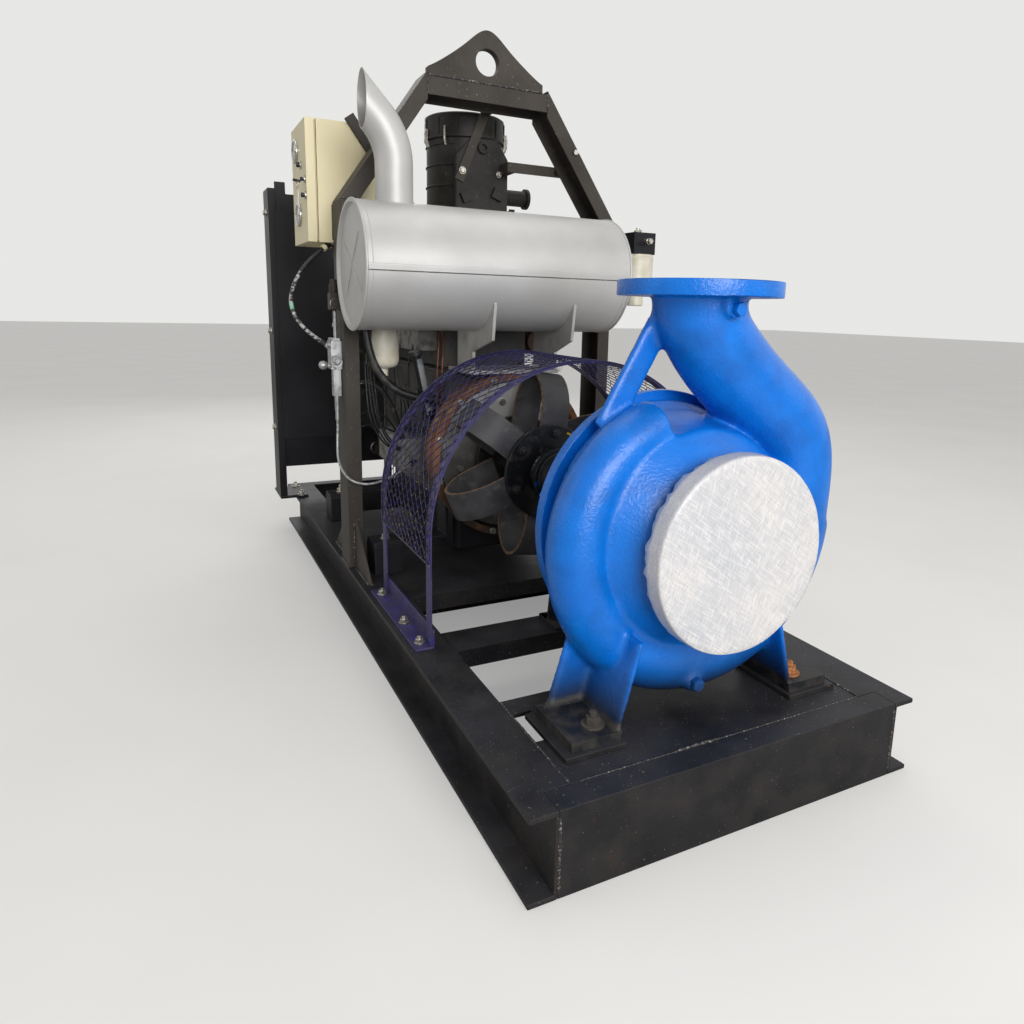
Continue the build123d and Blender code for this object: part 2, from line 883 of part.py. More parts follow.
# Belt round the three pulleys
belt_circles = (
    (0, pump_axis_height, crank_pulley_radius),
    (0, fan_height, fan_pulley_radius),
    (alternator_x, alternator_height, alternator_pulley_radius),
)
with BuildPart() as fan_belt:
    with BuildSketch(station(belt_station)) as belt_outline:
        with BuildSketch(mode=Mode.PRIVATE) as outer_pulleys:
            for across, up, radius in belt_circles:
                with Locations((across, up)):
                    Circle(radius + belt_thickness)
        with BuildSketch(mode=Mode.PRIVATE) as inner_pulleys:
            for across, up, radius in belt_circles:
                with Locations((across, up)):
                    Circle(radius + 0.2)
        make_hull(outer_pulleys.sketch.edges())
        make_hull(inner_pulleys.sketch.edges(), mode=Mode.SUBTRACT)
    extrude(amount=-belt_width)
fan_belt.part.label = "fan_belt"
export_step(fan_belt.part, "parts/fan_belt.step")

# Engine mounts: a rubber pad on the deck, a plate over it and a cheek on the block's side
mount_plate_foot = rail_height + mount_pad_height
mount_cheek_height = block_bottom + mount_cheek_overlap - mount_plate_foot
block_side = block_width / 2


def add_mounts(station_y):
    for hand in (left, right):
        with Locations((hand * (mount_outer + block_side) / 2, front + station_y, mount_plate_foot + mount_plate / 2)):
            Box(mount_outer - block_side, mount_plate_length, mount_plate)
        with Locations((hand * (block_side + mount_plate / 2), front + station_y,
                        mount_plate_foot + mount_cheek_height / 2)):
            Box(mount_plate, mount_plate_length, mount_cheek_height)


with BuildPart() as engine_mounts:
    add_mounts(mount_front)
    add_mounts(mount_rear)
    for station_y in (mount_front, mount_rear):
        for hand in (left, right):
            with Locations((hand * (mount_outer - mount_pad_width / 2), front + station_y,
                            rail_height + mount_pad_height / 2)):
                Box(mount_pad_width, mount_pad_length, mount_pad_height)
engine_mounts.part.label = "engine_mounts"
export_step(engine_mounts.part, "parts/engine_mounts.step")

# Exhaust log on the right of the head, with a port for each cylinder
head_side = head_width / 2
port_stations = [head_middle + port_spacing * (index - 1.5) for index in range(4)]
with BuildPart() as exhaust_manifold:
    with BuildSketch(station(inlet_pipe_station - inlet_pipe_radius)):
        with Locations((exhaust_log_x, exhaust_log_height)):
            Circle(exhaust_log_radius)
    extrude(amount=-(port_stations[3] + port_radius - inlet_pipe_station + inlet_pipe_radius))
    for place in port_stations:
        with BuildSketch(side(head_side)):
            with Locations((place, exhaust_log_height)):
                Circle(port_radius)
        extrude(amount=exhaust_log_x - head_side)
    # Pipe from the log up to the back of the silencer
    with BuildLine(side(exhaust_log_x)) as inlet_path:
        rise = Line((inlet_pipe_station, exhaust_log_height), (inlet_pipe_station, silencer_height - inlet_pipe_bend))
        bend = JernArc(rise @ 1, (0, 1), inlet_pipe_bend, 90)
        Line(bend @ 1, bend @ 1 - (60, 0))
    with BuildSketch(Plane.XY.offset(exhaust_log_height)):
        with Locations((exhaust_log_x, front + inlet_pipe_station)):
            Circle(inlet_pipe_radius)
    sweep(path=inlet_path.wires()[0])
    with BuildSketch(side(silencer_left)):
        with Locations((silencer_station, silencer_height)):
            Circle(silencer_radius)
    extrude(amount=silencer_right - silencer_left, mode=Mode.SUBTRACT)
exhaust_manifold.part.label = "exhaust_manifold"
export_step(exhaust_manifold.part, "parts/exhaust_manifold.step")

# Intake log on the left of the head and the duct from the air filter
intake_x = -head_side - intake_log_width / 2
intake_top = exhaust_log_height + intake_log_height / 2
with BuildPart() as intake_manifold:
    with Locations((intake_x, front + head_middle, exhaust_log_height)):
        Box(intake_log_width, 3 * port_spacing + 80, intake_log_height)
    with BuildSketch(Plane.XY.offset(intake_top)):
        with Locations((intake_x, front + air_filter_station)):
            Circle(duct_radius - 9)
    extrude(amount=intake_stub)
intake_manifold.part.label = "intake_manifold"
export_step(intake_manifold.part, "parts/intake_manifold.step")

duct_foot = intake_top + intake_stub
duct_run_height = air_filter_bottom - duct_run_drop
with BuildPart() as intake_duct:
    with BuildLine(station(air_filter_station)) as duct_path:
        FilletPolyline((intake_x, duct_foot), (intake_x, duct_run_height), (air_filter_x, duct_run_height),
                       (air_filter_x, air_filter_bottom), radius=duct_bend)
    with BuildSketch(Plane.XY.offset(duct_foot)):
        with Locations((intake_x, front + air_filter_station)):
            Circle(duct_radius)
    sweep(path=duct_path.wires()[0])
intake_duct.part.label = "intake_duct"
export_step(intake_duct.part, "parts/intake_duct.step")

# Injection pump on the block's left side
with BuildPart() as injection_pump:
    injection_x = -block_side - injection_width / 2
    injection_middle = injection_front + injection_length / 2
    with Locations((injection_x, front + injection_middle, (injection_bottom + injection_top) / 2)):
        Box(injection_width, injection_length, injection_top - injection_bottom)
    fillet(injection_pump.edges().filter_by(Axis.Y), 16)
injection_pump.part.label = "injection_pump"
export_step(injection_pump.part, "parts/injection_pump.step")

with BuildPart() as starter_motor:
    with BuildSketch(station(housing_back)):
        with Locations((block_side + starter_radius, starter_height)):
            Circle(starter_radius)
    extrude(amount=-starter_length)
    with BuildSketch(station(housing_back + 20)):
        with Locations((block_side + starter_radius + 20, starter_height + starter_radius + 16)):
            Circle(starter_radius * 0.6)
    extrude(amount=-starter_length * 0.6)
starter_motor.part.label = "starter_motor"
export_step(starter_motor.part, "parts/starter_motor.step")

# Radiator: side channels on foot plates, tanks, core, shroud with the fan's ring, fan
channel_back = radiator_front + radiator_depth
channel_front = radiator_front + shroud_thickness
with BuildPart() as radiator_channels:
    for hand in (left, right):
        middle_x = hand * (radiator_inner + radiator_channel / 2)
        foot_x = hand * (radiator_inner + radiator_channel - radiator_foot_width / 2)
        with Locations((middle_x, front + (channel_front + channel_back) / 2,
                        (rail_height + radiator_foot_thickness + radiator_top) / 2)):
            Box(radiator_channel, channel_back - channel_front, radiator_top - rail_height - radiator_foot_thickness)
        with Locations((middle_x - hand * rail_web, front + (channel_front + channel_back) / 2,
                        (rail_height + radiator_foot_thickness + radiator_top) / 2)):
            Box(radiator_channel, channel_back - channel_front - 2 * rail_web,
                radiator_top - rail_height - radiator_foot_thickness, mode=Mode.SUBTRACT)
        with Locations((foot_x, front + (channel_front + channel_back) / 2 + 20,
                        rail_height + radiator_foot_thickness / 2)):
            Box(radiator_foot_width, channel_back - channel_front + 48, radiator_foot_thickness)
radiator_channels.part.label = "radiator_channels"
export_step(radiator_channels.part, "parts/radiator_channels.step")

tank_front = radiator_front + tank_front_gap
core_front = radiator_front + shroud_thickness + shroud_depth
top_tank_foot = radiator_top - 10 - tank_height
bottom_tank_foot = shroud_bottom - tank_height
with BuildPart() as radiator_tanks:
    for foot in (bottom_tank_foot, top_tank_foot):
        tank_start = core_front if foot == top_tank_foot else tank_front
        with Locations((0, front + (tank_start + channel_back) / 2, foot + tank_height / 2)):
            Box(2 * radiator_inner, channel_back - tank_start, tank_height)
    with BuildSketch(Plane.XY.offset(radiator_top - 10)):
        with Locations((0, front + channel_back - core_thickness / 2)):
            Circle(28)
    extrude(amount=24)
    for hand in (left, right):
        with Locations((hand * (radiator_inner - 5 - lug_width / 2), front + core_front + 3,
                        (radiator_top - 10 + lug_top) / 2)):
            Box(lug_width, 6, lug_top - radiator_top + 10)
radiator_tanks.part.label = "radiator_tanks"
export_step(radiator_tanks.part, "parts/radiator_tanks.step")

with BuildPart() as radiator_core:
    with Locations((0, front + core_front + (channel_back - core_front) / 2, (shroud_bottom + top_tank_foot) / 2)):
        Box(2 * radiator_inner, channel_back - core_front, top_tank_foot - shroud_bottom)
radiator_core.part.label = "radiator_core"
export_step(radiator_core.part, "parts/radiator_core.step")

shroud_half = radiator_inner + 4
with BuildPart() as fan_shroud:
    with BuildSketch(station(radiator_front)):
        with Locations((0, (shroud_bottom + shroud_top) / 2)):
            Rectangle(2 * shroud_half, shroud_top - shroud_bottom)
    extrude(amount=-shroud_thickness)
    with BuildSketch(station(radiator_front)):
        with Locations((0, (shroud_bottom + shroud_top) / 2)):
            Rectangle(2 * radiator_inner - 0.6, shroud_top - shroud_bottom)
            Rectangle(2 * radiator_inner - 0.6 - 2 * shroud_thickness, shroud_top - shroud_bottom - 2 * shroud_thickness,
                      mode=Mode.SUBTRACT)
    extrude(amount=-(shroud_depth + shroud_thickness))
    with BuildSketch(station(radiator_front - shroud_ring_depth)):
        with Locations((0, fan_height)):
            Circle(shroud_opening_radius + shroud_thickness)
    extrude(amount=-shroud_ring_depth)
    with BuildSketch(station(radiator_front - shroud_ring_depth)):
        with Locations((0, fan_height)):
            Circle(shroud_opening_radius)
    extrude(amount=-(shroud_ring_depth + shroud_thickness), mode=Mode.SUBTRACT)
fan_shroud.part.label = "fan_shroud"
export_step(fan_shroud.part, "parts/fan_shroud.step")

with BuildPart() as radiator_fan:
    with BuildSketch(station(fan_station)):
        with Locations((0, fan_height)):
            Circle(fan_hub_radius + 10)
    extrude(amount=-fan_depth)
    for index in range(fan_blades):
        turn = index * 360 / fan_blades
        spoke = (math.cos(math.radians(turn)), 0, math.sin(math.radians(turn)))
        blade_plane = Plane(origin=(0, front + fan_station + fan_depth / 2, fan_height), x_dir=(0, 1, 0), z_dir=spoke)
        with BuildSketch(blade_plane.offset(fan_hub_radius)):
            Rectangle(fan_depth - 4, fan_blade_thickness, rotation=60)
        with BuildSketch(blade_plane.offset(fan_radius)):
            Rectangle(fan_depth + 40, fan_blade_thickness, rotation=70)
        loft()
radiator_fan.part.label = "radiator_fan"
export_step(radiator_fan.part, "parts/radiator_fan.step")

# Hoses between the engine and the radiator's tanks
water_pump_height = pump_axis_height - 45
top_hose_end = top_tank_foot + tank_height / 2 + 10
low_hose_end = bottom_tank_foot + tank_height / 2 - 1
with BuildPart() as radiator_hoses:
    for across, points in (
        (90, ((engine_back, head_top - 50), (1840, head_top - 50), (1925, top_hose_end), (core_front, top_hose_end))),
        (-105, ((timing_back, water_pump_height), (1880, water_pump_height), (1930, low_hose_end),
                (tank_front, low_hose_end))),
    ):
        with BuildLine(side(across)) as hose_path:
            FilletPolyline(*points, radius=38)
        hose_wire = hose_path.wires()[0]
        with BuildSketch(Plane(origin=hose_wire @ 0, z_dir=hose_wire % 0)):
            Circle(radiator_hose_radius)
        sweep(path=hose_wire)
radiator_hoses.part.label = "radiator_hoses"
export_step(radiator_hoses.part, "parts/radiator_hoses.step")


# Lifting frame: channel posts with a gusset, leaning arms, a beam and the lifting eye
frame_back = frame_front + frame_depth


def add_leg_channel(points, hand):
    """A channel along the run from points[0] to points[1], web outwards, its flanges reaching inwards."""
    (x1, z1), (x2, z2) = points
    run = math.hypot(x2 - x1, z2 - z1)
    direction = ((x2 - x1) / run, 0, (z2 - z1) / run)
    cut = Plane(origin=(x1, front + frame_front + frame_depth / 2, z1), x_dir=(0, 1, 0), z_dir=direction)
    inward = 1 if cut.y_dir.dot(Vector(-hand, 0, -0.2)) > 0 else -1
    with BuildSketch(cut) as profile:
        with Locations((0, inward * frame_leg_width / 2)):
            Rectangle(frame_depth, frame_leg_width)
        with Locations((0, inward * (frame_leg_width / 2 + frame_wall))):
            Rectangle(frame_depth - 2 * frame_wall, frame_leg_width, mode=Mode.SUBTRACT)
    extrude(profile.sketch, amount=run)


def add_gussets(hand):
    for toe, heel in ((frame_front - gusset_length, frame_front), (frame_back + gusset_length, frame_back)):
        with BuildSketch(side(hand * (frame_outer - frame_leg_width / 2))) as outline:
            with BuildLine():
                Polyline(
                    (toe, rail_height),
                    (heel, rail_height),
                    (heel, rail_height + gusset_height),
                    close=True,
                )
            make_face()
        extrude(outline.sketch, amount=gusset_thickness / 2, both=True)


with BuildPart() as posts:
    for hand in (left, right):
        add_leg_channel(((hand * frame_outer, rail_height), (hand * frame_outer, frame_knee_height)), hand)
        add_gussets(hand)
posts.part.label = "posts"
export_step(posts.part, "parts/posts.step")


arm_slope = (beam_top - frame_knee_height) / (frame_outer - beam_half_length - 8)
with BuildPart() as arms:
    for hand in (left, right):
        add_leg_channel(((hand * (frame_outer + 40), frame_knee_height - 40 * arm_slope),
                         (hand * (beam_half_length - 32), beam_top + 40 * arm_slope)), hand)
        # Cut level at the post's top and upright at the beam's end
        with Locations((hand * frame_outer, front + frame_front + frame_depth / 2, frame_knee_height - 100)):
            Box(400, 2 * frame_depth, 200, mode=Mode.SUBTRACT)
    with Locations((0, front + frame_front + frame_depth / 2, beam_top)):
        Box(2 * beam_half_length, 2 * frame_depth, 400, mode=Mode.SUBTRACT)
arms.part.label = "arms"
export_step(arms.part, "parts/arms.step")

with BuildPart() as lifting_beam:
    with BuildSketch(side(-beam_half_length)):
        with Locations((frame_front + frame_depth / 2, (beam_top + beam_bottom) / 2)):
            Rectangle(frame_depth, beam_top - beam_bottom)
        with Locations((frame_front + frame_depth / 2, (beam_top + beam_bottom) / 2 - frame_wall)):
            Rectangle(frame_depth - 2 * frame_wall, beam_top - beam_bottom, mode=Mode.SUBTRACT)
    extrude(amount=2 * beam_half_length)
    with BuildSketch(station(frame_front)):
        with BuildLine():
            shoulder = beam_top + 22
            crown = 55
            eye_left = eye_centre - eye_half_length
            eye_right = eye_centre + eye_half_length
            Polyline((eye_left, shoulder), (eye_left, beam_top), (eye_right, beam_top), (eye_right, shoulder))
            Spline((eye_right, shoulder), (eye_right - 46, shoulder + 28),
                   (eye_centre + crown, eye_top - 34), (eye_centre, eye_top), (eye_centre - crown, eye_top - 34),
                   (eye_left + 46, shoulder + 28), (eye_left, shoulder))
        make_face()
        with Locations((eye_centre, eye_hole_height)):
            Circle(eye_hole_radius, mode=Mode.SUBTRACT)
    extrude(amount=-eye_thickness)
lifting_beam.part.label = "lifting_beam"
export_step(lifting_beam.part, "parts/lifting_beam.step")

# Silencer: rolled shell, two pressed ends and the outlet pipe
silencer_length = silencer_right - silencer_left
silencer_axis = Axis((0, front + silencer_station, silencer_height), (1, 0, 0))
turned = Plane(origin=(0, front + silencer_station, silencer_height), x_dir=(1, 0, 0), z_dir=(0, -1, 0))
with BuildPart() as silencer_shell:
    with BuildSketch(turned):
        with Locations(((silencer_left + silencer_right) / 2, silencer_radius - silencer_wall / 2)):
            Rectangle(silencer_length, silencer_wall)
    revolve(axis=silencer_axis)
silencer_shell.part.label = "silencer_shell"
export_step(silencer_shell.part, "parts/silencer_shell.step")


def add_silencer_end(edge, inward):
    with BuildSketch(turned) as section:
        rim = silencer_radius - silencer_wall
        with BuildLine():
            Polyline(
                (edge, rim),
                (edge, rim - silencer_rim),
                (edge + inward * silencer_end_recess, rim - silencer_rim - 4),
                (edge + inward * (silencer_end_recess - 3), 0),
                (edge + inward * (silencer_end_recess + 3), 0),
                (edge + inward * (silencer_end_recess + 6), rim),
                close=True,
            )
        make_face()
    revolve(section.sketch, axis=silencer_axis)


with BuildPart() as silencer_ends:
    add_silencer_end(silencer_left, 1)
    add_silencer_end(silencer_right, -1)
silencer_ends.part.label = "silencer_ends"
export_step(silencer_ends.part, "parts/silencer_ends.step")

# Outlet: up from the shell, then leaning out to the left, its mouth cut upright
outlet_foot = silencer_height + silencer_radius - 20
with BuildPart() as exhaust_outlet:
    with BuildLine(station(silencer_station)) as outlet_path:
        rise = Line((outlet_x, outlet_foot), (outlet_x, outlet_straight_top))
        bend = JernArc(rise @ 1, (0, 1), outlet_bend_radius, outlet_bend)
        Line(bend @ 1, bend @ 1 + (bend % 1) * outlet_overrun)
    with BuildSketch(Plane.XY.offset(outlet_foot)):
        with Locations((outlet_x, front + silencer_station)):
            Circle(outlet_radius)
            Circle(outlet_radius - outlet_wall, mode=Mode.SUBTRACT)
    sweep(path=outlet_path.wires()[0])
    half_cut = outlet_mouth_cut / 2
    with Locations((outlet_mouth_x - half_cut, front + silencer_station, outlet_straight_top + half_cut)):
        Box(outlet_mouth_cut, outlet_mouth_cut, outlet_mouth_cut, mode=Mode.SUBTRACT)
    with BuildSketch(side(silencer_left)):
        with Locations((silencer_station, silencer_height)):
            Circle(silencer_radius + 0.05)
    extrude(amount=silencer_length, mode=Mode.SUBTRACT)
exhaust_outlet.part.label = "exhaust_outlet"
export_step(exhaust_outlet.part, "parts/exhaust_outlet.step")

# Two bracket plates under the silencer, on a saddle plate that lies on the block
saddle_top = block_top + saddle_thickness
bracket_knee = silencer_height - bracket_knee_drop
with BuildPart() as silencer_brackets:
    for middle_x, leg, back in (
        (bracket_left_x, bracket_left_leg, bracket_left_back),
        (bracket_right_x, bracket_right_leg, bracket_right_back),
    ):
        with BuildSketch(side(middle_x - bracket_thickness / 2)):
            with BuildLine():
                Polyline(
                    (silencer_station - 132, silencer_height - 80),
                    (silencer_station - 118, silencer_height - 172),
                    (leg, bracket_knee),
                    (leg, saddle_top),
                    (back, saddle_top),
                    (back, silencer_height - 60),
                    close=True,
                )
            make_face()
            with Locations((silencer_station, silencer_height)):
                Circle(silencer_radius, mode=Mode.SUBTRACT)
        extrude(amount=bracket_thickness)
    saddle_front = bracket_right_leg - 4
    saddle_length = bracket_left_back + 8 - saddle_front
    saddle_left = bracket_left_x - 28
    saddle_right = bracket_right_x + 8
    with Locations(((saddle_left + saddle_right) / 2, front + saddle_front + saddle_length / 2,
                    block_top + saddle_thickness / 2)):
        Box(saddle_right - saddle_left, saddle_length, saddle_thickness)
silencer_brackets.part.label = "silencer_brackets"
export_step(silencer_brackets.part, "parts/silencer_brackets.step")


# Guard: foot angles on the rails, two hoops and the mesh between them
hoop_inner = guard_radius - hoop_thickness


def add_arch(plane, radius, wall, foot, length):
    with BuildSketch(plane) as arch:
        with Locations((0, guard_centre_height)):
            Circle(radius + wall)
        with Locations((0, guard_centre_height - radius)):
            Rectangle(2 * radius + 2 * wall + 2, 2 * radius, mode=Mode.SUBTRACT)
        with Locations((0, (guard_centre_height + foot) / 2)):
            Rectangle(2 * (radius + wall), guard_centre_height - foot)
        with Locations((0, guard_centre_height)):
            Circle(radius, mode=Mode.SUBTRACT)
        with Locations((0, (guard_centre_height + foot) / 2 - 1)):
            Rectangle(2 * radius, guard_centre_height - foot + 2, mode=Mode.SUBTRACT)
    extrude(arch.sketch, amount=-length)


with BuildPart() as guard_hoops:
    for start in (guard_front, guard_front + guard_length - hoop_width):
        add_arch(station(start), hoop_inner, hoop_thickness, rail_height + foot_angle_thickness, hoop_width)
guard_hoops.part.label = "guard_hoops"
export_step(guard_hoops.part, "parts/guard_hoops.step")

with BuildPart() as guard_mesh:
    mesh_inner = guard_radius + 0.2
    mesh_pitch = (guard_length - mesh_rib) / (mesh_rows - 1)
    for row in range(mesh_rows):
        add_arch(station(guard_front + row * mesh_pitch), mesh_inner, mesh_thickness, guard_mesh_bottom, mesh_rib)
    rib_angles = [15 * step for step in range(13)]
    for angle in rib_angles:
        across = math.cos(math.radians(angle)) * (mesh_inner + mesh_thickness / 2)
        up = guard_centre_height + math.sin(math.radians(angle)) * (mesh_inner + mesh_thickness / 2)
        with BuildSketch(station(guard_front)):
            with Locations((across, up)):
                Rectangle(mesh_thickness, mesh_rib, rotation=angle)
        extrude(amount=-guard_length)
    for hand in (left, right):
        with Locations((hand * (mesh_inner + mesh_thickness / 2), front + guard_front + guard_length / 2,
                        guard_mesh_bottom + mesh_rib / 2)):
            Box(mesh_thickness, guard_length, mesh_rib)
guard_mesh.part.label = "guard_mesh"
export_step(guard_mesh.part, "parts/guard_mesh.step")

with BuildPart() as guard_feet:
    for hand in (left, right):
        with BuildSketch(station(guard_front)):
            upright_x = hand * (hoop_inner - foot_angle_thickness / 2)
            with Locations((upright_x, rail_height + foot_angle_leg / 2)):
                Rectangle(foot_angle_thickness, foot_angle_leg)
            with Locations((upright_x + hand * (foot_angle_leg - foot_angle_thickness) / 2,
                            rail_height + foot_angle_thickness / 2)):
                Rectangle(foot_angle_leg, foot_angle_thickness)
        extrude(amount=-guard_length)
guard_feet.part.label = "guard_feet"
export_step(guard_feet.part, "parts/guard_feet.step")

# Control panel: sheet box behind the left arm, with its hinged door
panel_middle = panel_front + panel_length / 2
panel_back = panel_front + panel_length
panel_centre = (panel_top + panel_bottom) / 2
panel_height = panel_top - panel_bottom
door_inner = -panel_outer + door_depth
box_outer = door_inner + door_gap
box_depth = panel_depth - door_depth - door_gap
hinge_x = (door_inner + box_outer) / 2
hinge_station = panel_back + hinge_offset
hinge_levels = (panel_bottom + hinge_inset, panel_top - hinge_inset)
gland_seat = Vector(box_outer + 30, front + panel_front + 26, panel_bottom)
gland_aim = Vector(-30, -5, -27).normalized()
gland_length = 24
gland_radius = 9

with BuildPart() as panel_box:
    with Locations((box_outer + box_depth / 2, front + panel_middle, panel_centre)):
        Box(box_depth, panel_length, panel_height)
        with Locations((-panel_wall, 0, 0)):
            Box(box_depth, panel_length - 2 * panel_wall, panel_height - 2 * panel_wall, mode=Mode.SUBTRACT)
    with BuildSketch(Plane(origin=gland_seat, z_dir=gland_aim)):
        Circle(gland_radius)
    extrude(amount=gland_length)
    for level in hinge_levels:
        for end in (left, right):
            block = (hinge_length - hinge_knuckle_length) / 2 - 0.5
            block_middle = level + end * (hinge_length / 2 - block / 2)
            with Locations((hinge_x, front + hinge_station, block_middle)):
                Cylinder(hinge_knuckle, block)
            with Locations(((hinge_x + box_outer + 20) / 2, front + panel_back + hinge_offset / 2, block_middle)):
                Box(box_outer + 20 - hinge_x, hinge_offset, block)
        with Locations((hinge_x, front + hinge_station, level)):
            Cylinder(hinge_radius, hinge_length)
panel_box.part.label = "panel_box"
export_step(panel_box.part, "parts/panel_box.step")

with BuildPart() as panel_door:
    with Locations((-panel_outer + door_depth / 2, front + panel_middle, panel_centre)):
        Box(door_depth, panel_length, panel_height)
        with Locations((door_wall, 0, 0)):
            Box(door_depth, panel_length - 2 * door_wall, panel_height - 2 * door_wall, mode=Mode.SUBTRACT)
    for level in hinge_levels:
        with Locations((hinge_x, front + hinge_station, level)):
            Cylinder(hinge_knuckle, hinge_knuckle_length)
        with Locations(((hinge_x + door_inner - 18) / 2, front + panel_back + hinge_offset / 2, level)):
            Box(hinge_x - door_inner + 18, hinge_offset, hinge_knuckle_length)
        with Locations((hinge_x, front + hinge_station, level)):
            Cylinder(hinge_radius + hinge_clearance, hinge_knuckle_length, mode=Mode.SUBTRACT)
panel_door.part.label = "panel_door"
export_step(panel_door.part, "parts/panel_door.step")

# Instruments: distance from the panel's front edge, height over its bottom, radius
instruments = (
    (143, 247, gauge_radius),
    (116, 77, gauge_radius),
    (72, 202, 11),
    (20, 159, 9),
    (14, 118, 10),
)
with BuildPart() as panel_gauges:
    for along, up, radius in instruments:
        with BuildSketch(side(-panel_outer)):
            with Locations((panel_front + along, panel_bottom + up)):
                Circle(radius)
        extrude(amount=-gauge_depth)
panel_gauges.part.label = "panel_gauges"
export_step(panel_gauges.part, "parts/panel_gauges.step")

with BuildPart() as panel_brackets:
    with Locations((-frame_outer + frame_leg_width / 2, front + (frame_back + panel_front) / 2, panel_bottom + 52)):
        Box(frame_leg_width, panel_front - frame_back, 90)
    stay_low = (-panel_outer + 173, panel_top - 69)
    stay_high = (-panel_outer + 121, panel_top + 3)
    stay_lean = math.degrees(math.atan2(stay_high[1] - stay_low[1], stay_high[0] - stay_low[0]))
    stay_run = math.hypot(stay_high[1] - stay_low[1], stay_high[0] - stay_low[0])
    with BuildSketch(station(frame_back)):
        with Locations(((stay_low[0] + stay_high[0]) / 2, (stay_low[1] + stay_high[1]) / 2)):
            Rectangle(stay_run + 30, stay_width, rotation=stay_lean)
    extrude(amount=-(panel_front - frame_back))
panel_brackets.part.label = "panel_brackets"
export_step(panel_brackets.part, "parts/panel_brackets.step")

# Air filter: canister with a lid, a flat mounting face with two bosses and a side stub
with BuildPart() as air_filter:
    with BuildSketch(Plane.XY.offset(air_filter_bottom)):
        with Locations((air_filter_x, front + air_filter_station)):
            Circle(air_filter_radius)
    extrude(amount=air_filter_top - air_filter_bottom)
    with BuildSketch(Plane.XY.offset(air_filter_lid_foot)):
        with Locations((air_filter_x, front + air_filter_station)):
            Circle(air_filter_lid_radius)
    extrude(amount=air_filter_top - air_filter_lid_foot)
    face_left = -36
    face_right = 126
    with BuildSketch(station(filter_face)):
        with BuildLine():
            Polyline(
                (face_left, air_filter_bottom + 60),
                (face_right, air_filter_bottom + 60),
                (face_right, air_filter_lid_foot - 60),
                (face_right - 34, air_filter_lid_foot - 8),
                (face_left + 44, air_filter_lid_foot - 8),
                (face_left, air_filter_lid_foot - 60),
                close=True,
            )
        make_face()
    extrude(amount=-90)
    with BuildSketch(side(air_filter_x + 80)):
        with Locations((filter_face + 90, air_filter_bottom + filter_stub_rise)):
            Circle(filter_stub_radius)
    extrude(amount=110)
    with BuildSketch(side(air_filter_x + 190)):
        with Locations((filter_face + 90, air_filter_bottom + filter_stub_rise)):
            Circle(filter_stub_radius + 7)
    extrude(amount=10)
air_filter.part.label = "air_filter"
export_step(air_filter.part, "parts/air_filter.step")

with BuildPart() as filter_bars:
    strut_base = (-26, 1244)
    strut_head = (52, 1430)
    strut_slope = math.degrees(math.atan2(strut_head[1] - strut_base[1], strut_head[0] - strut_base[0]))
    strut_length = math.hypot(strut_head[1] - strut_base[1], strut_head[0] - strut_base[0])
    with BuildSketch(station(filter_face - filter_bar_thickness)):
        with Locations(((strut_base[0] + strut_head[0]) / 2, (strut_base[1] + strut_head[1]) / 2)):
            Rectangle(strut_length + 20, filter_strut_width, rotation=strut_slope)
    extrude(amount=-filter_bar_thickness)
    arm_length = filter_face - filter_bar_thickness - frame_back
    with Locations((strut_head[0], front + frame_back + arm_length / 2, strut_head[1])):
        Box(filter_strut_width, arm_length, filter_bar_thickness * 2)
    bar_height = 1276
    bar_left = face_right - 26
    bar_right = 292
    with Locations(((bar_left + bar_right) / 2, front + frame_back + filter_bar_thickness / 2, bar_height)):
        Box(bar_right - bar_left, filter_bar_thickness, filter_bar_height)
    with Locations((bar_left + 13, front + (frame_back + filter_face) / 2, bar_height)):
        Box(26, filter_face - frame_back, filter_bar_height)
filter_bars.part.label = "filter_bars"
export_step(filter_bars.part, "parts/filter_bars.step")

# Fuel filters: one under a shelf on the left post, one on an arm from the right post
with BuildPart() as fuel_filters:
    with BuildSketch(Plane.XY.offset(left_filter_bottom)):
        with Locations((left_filter_x, front + left_filter_station)):
            Circle(left_filter_radius)
    extrude(amount=left_filter_top - left_filter_bottom)
    fillet(fuel_filters.edges().group_by(Axis.Z)[0], 10)
    with BuildSketch(Plane.XY.offset(left_filter_bottom)):
        with Locations((left_filter_x, front + left_filter_station)):
            Circle(filter_cap_radius)
    extrude(amount=-filter_cap_height)
    for foot, radius, height in (
        (right_filter_bottom - right_cup_height, right_cup_radius, right_cup_height),
        (right_filter_bottom, right_filter_radius, right_filter_top - right_filter_bottom),
    ):
        with BuildSketch(Plane.XY.offset(foot)):
            with Locations((right_filter_x, front + right_filter_station)):
                Circle(radius)
        extrude(amount=height)
fuel_filters.part.label = "fuel_filters"
export_step(fuel_filters.part, "parts/fuel_filters.step")

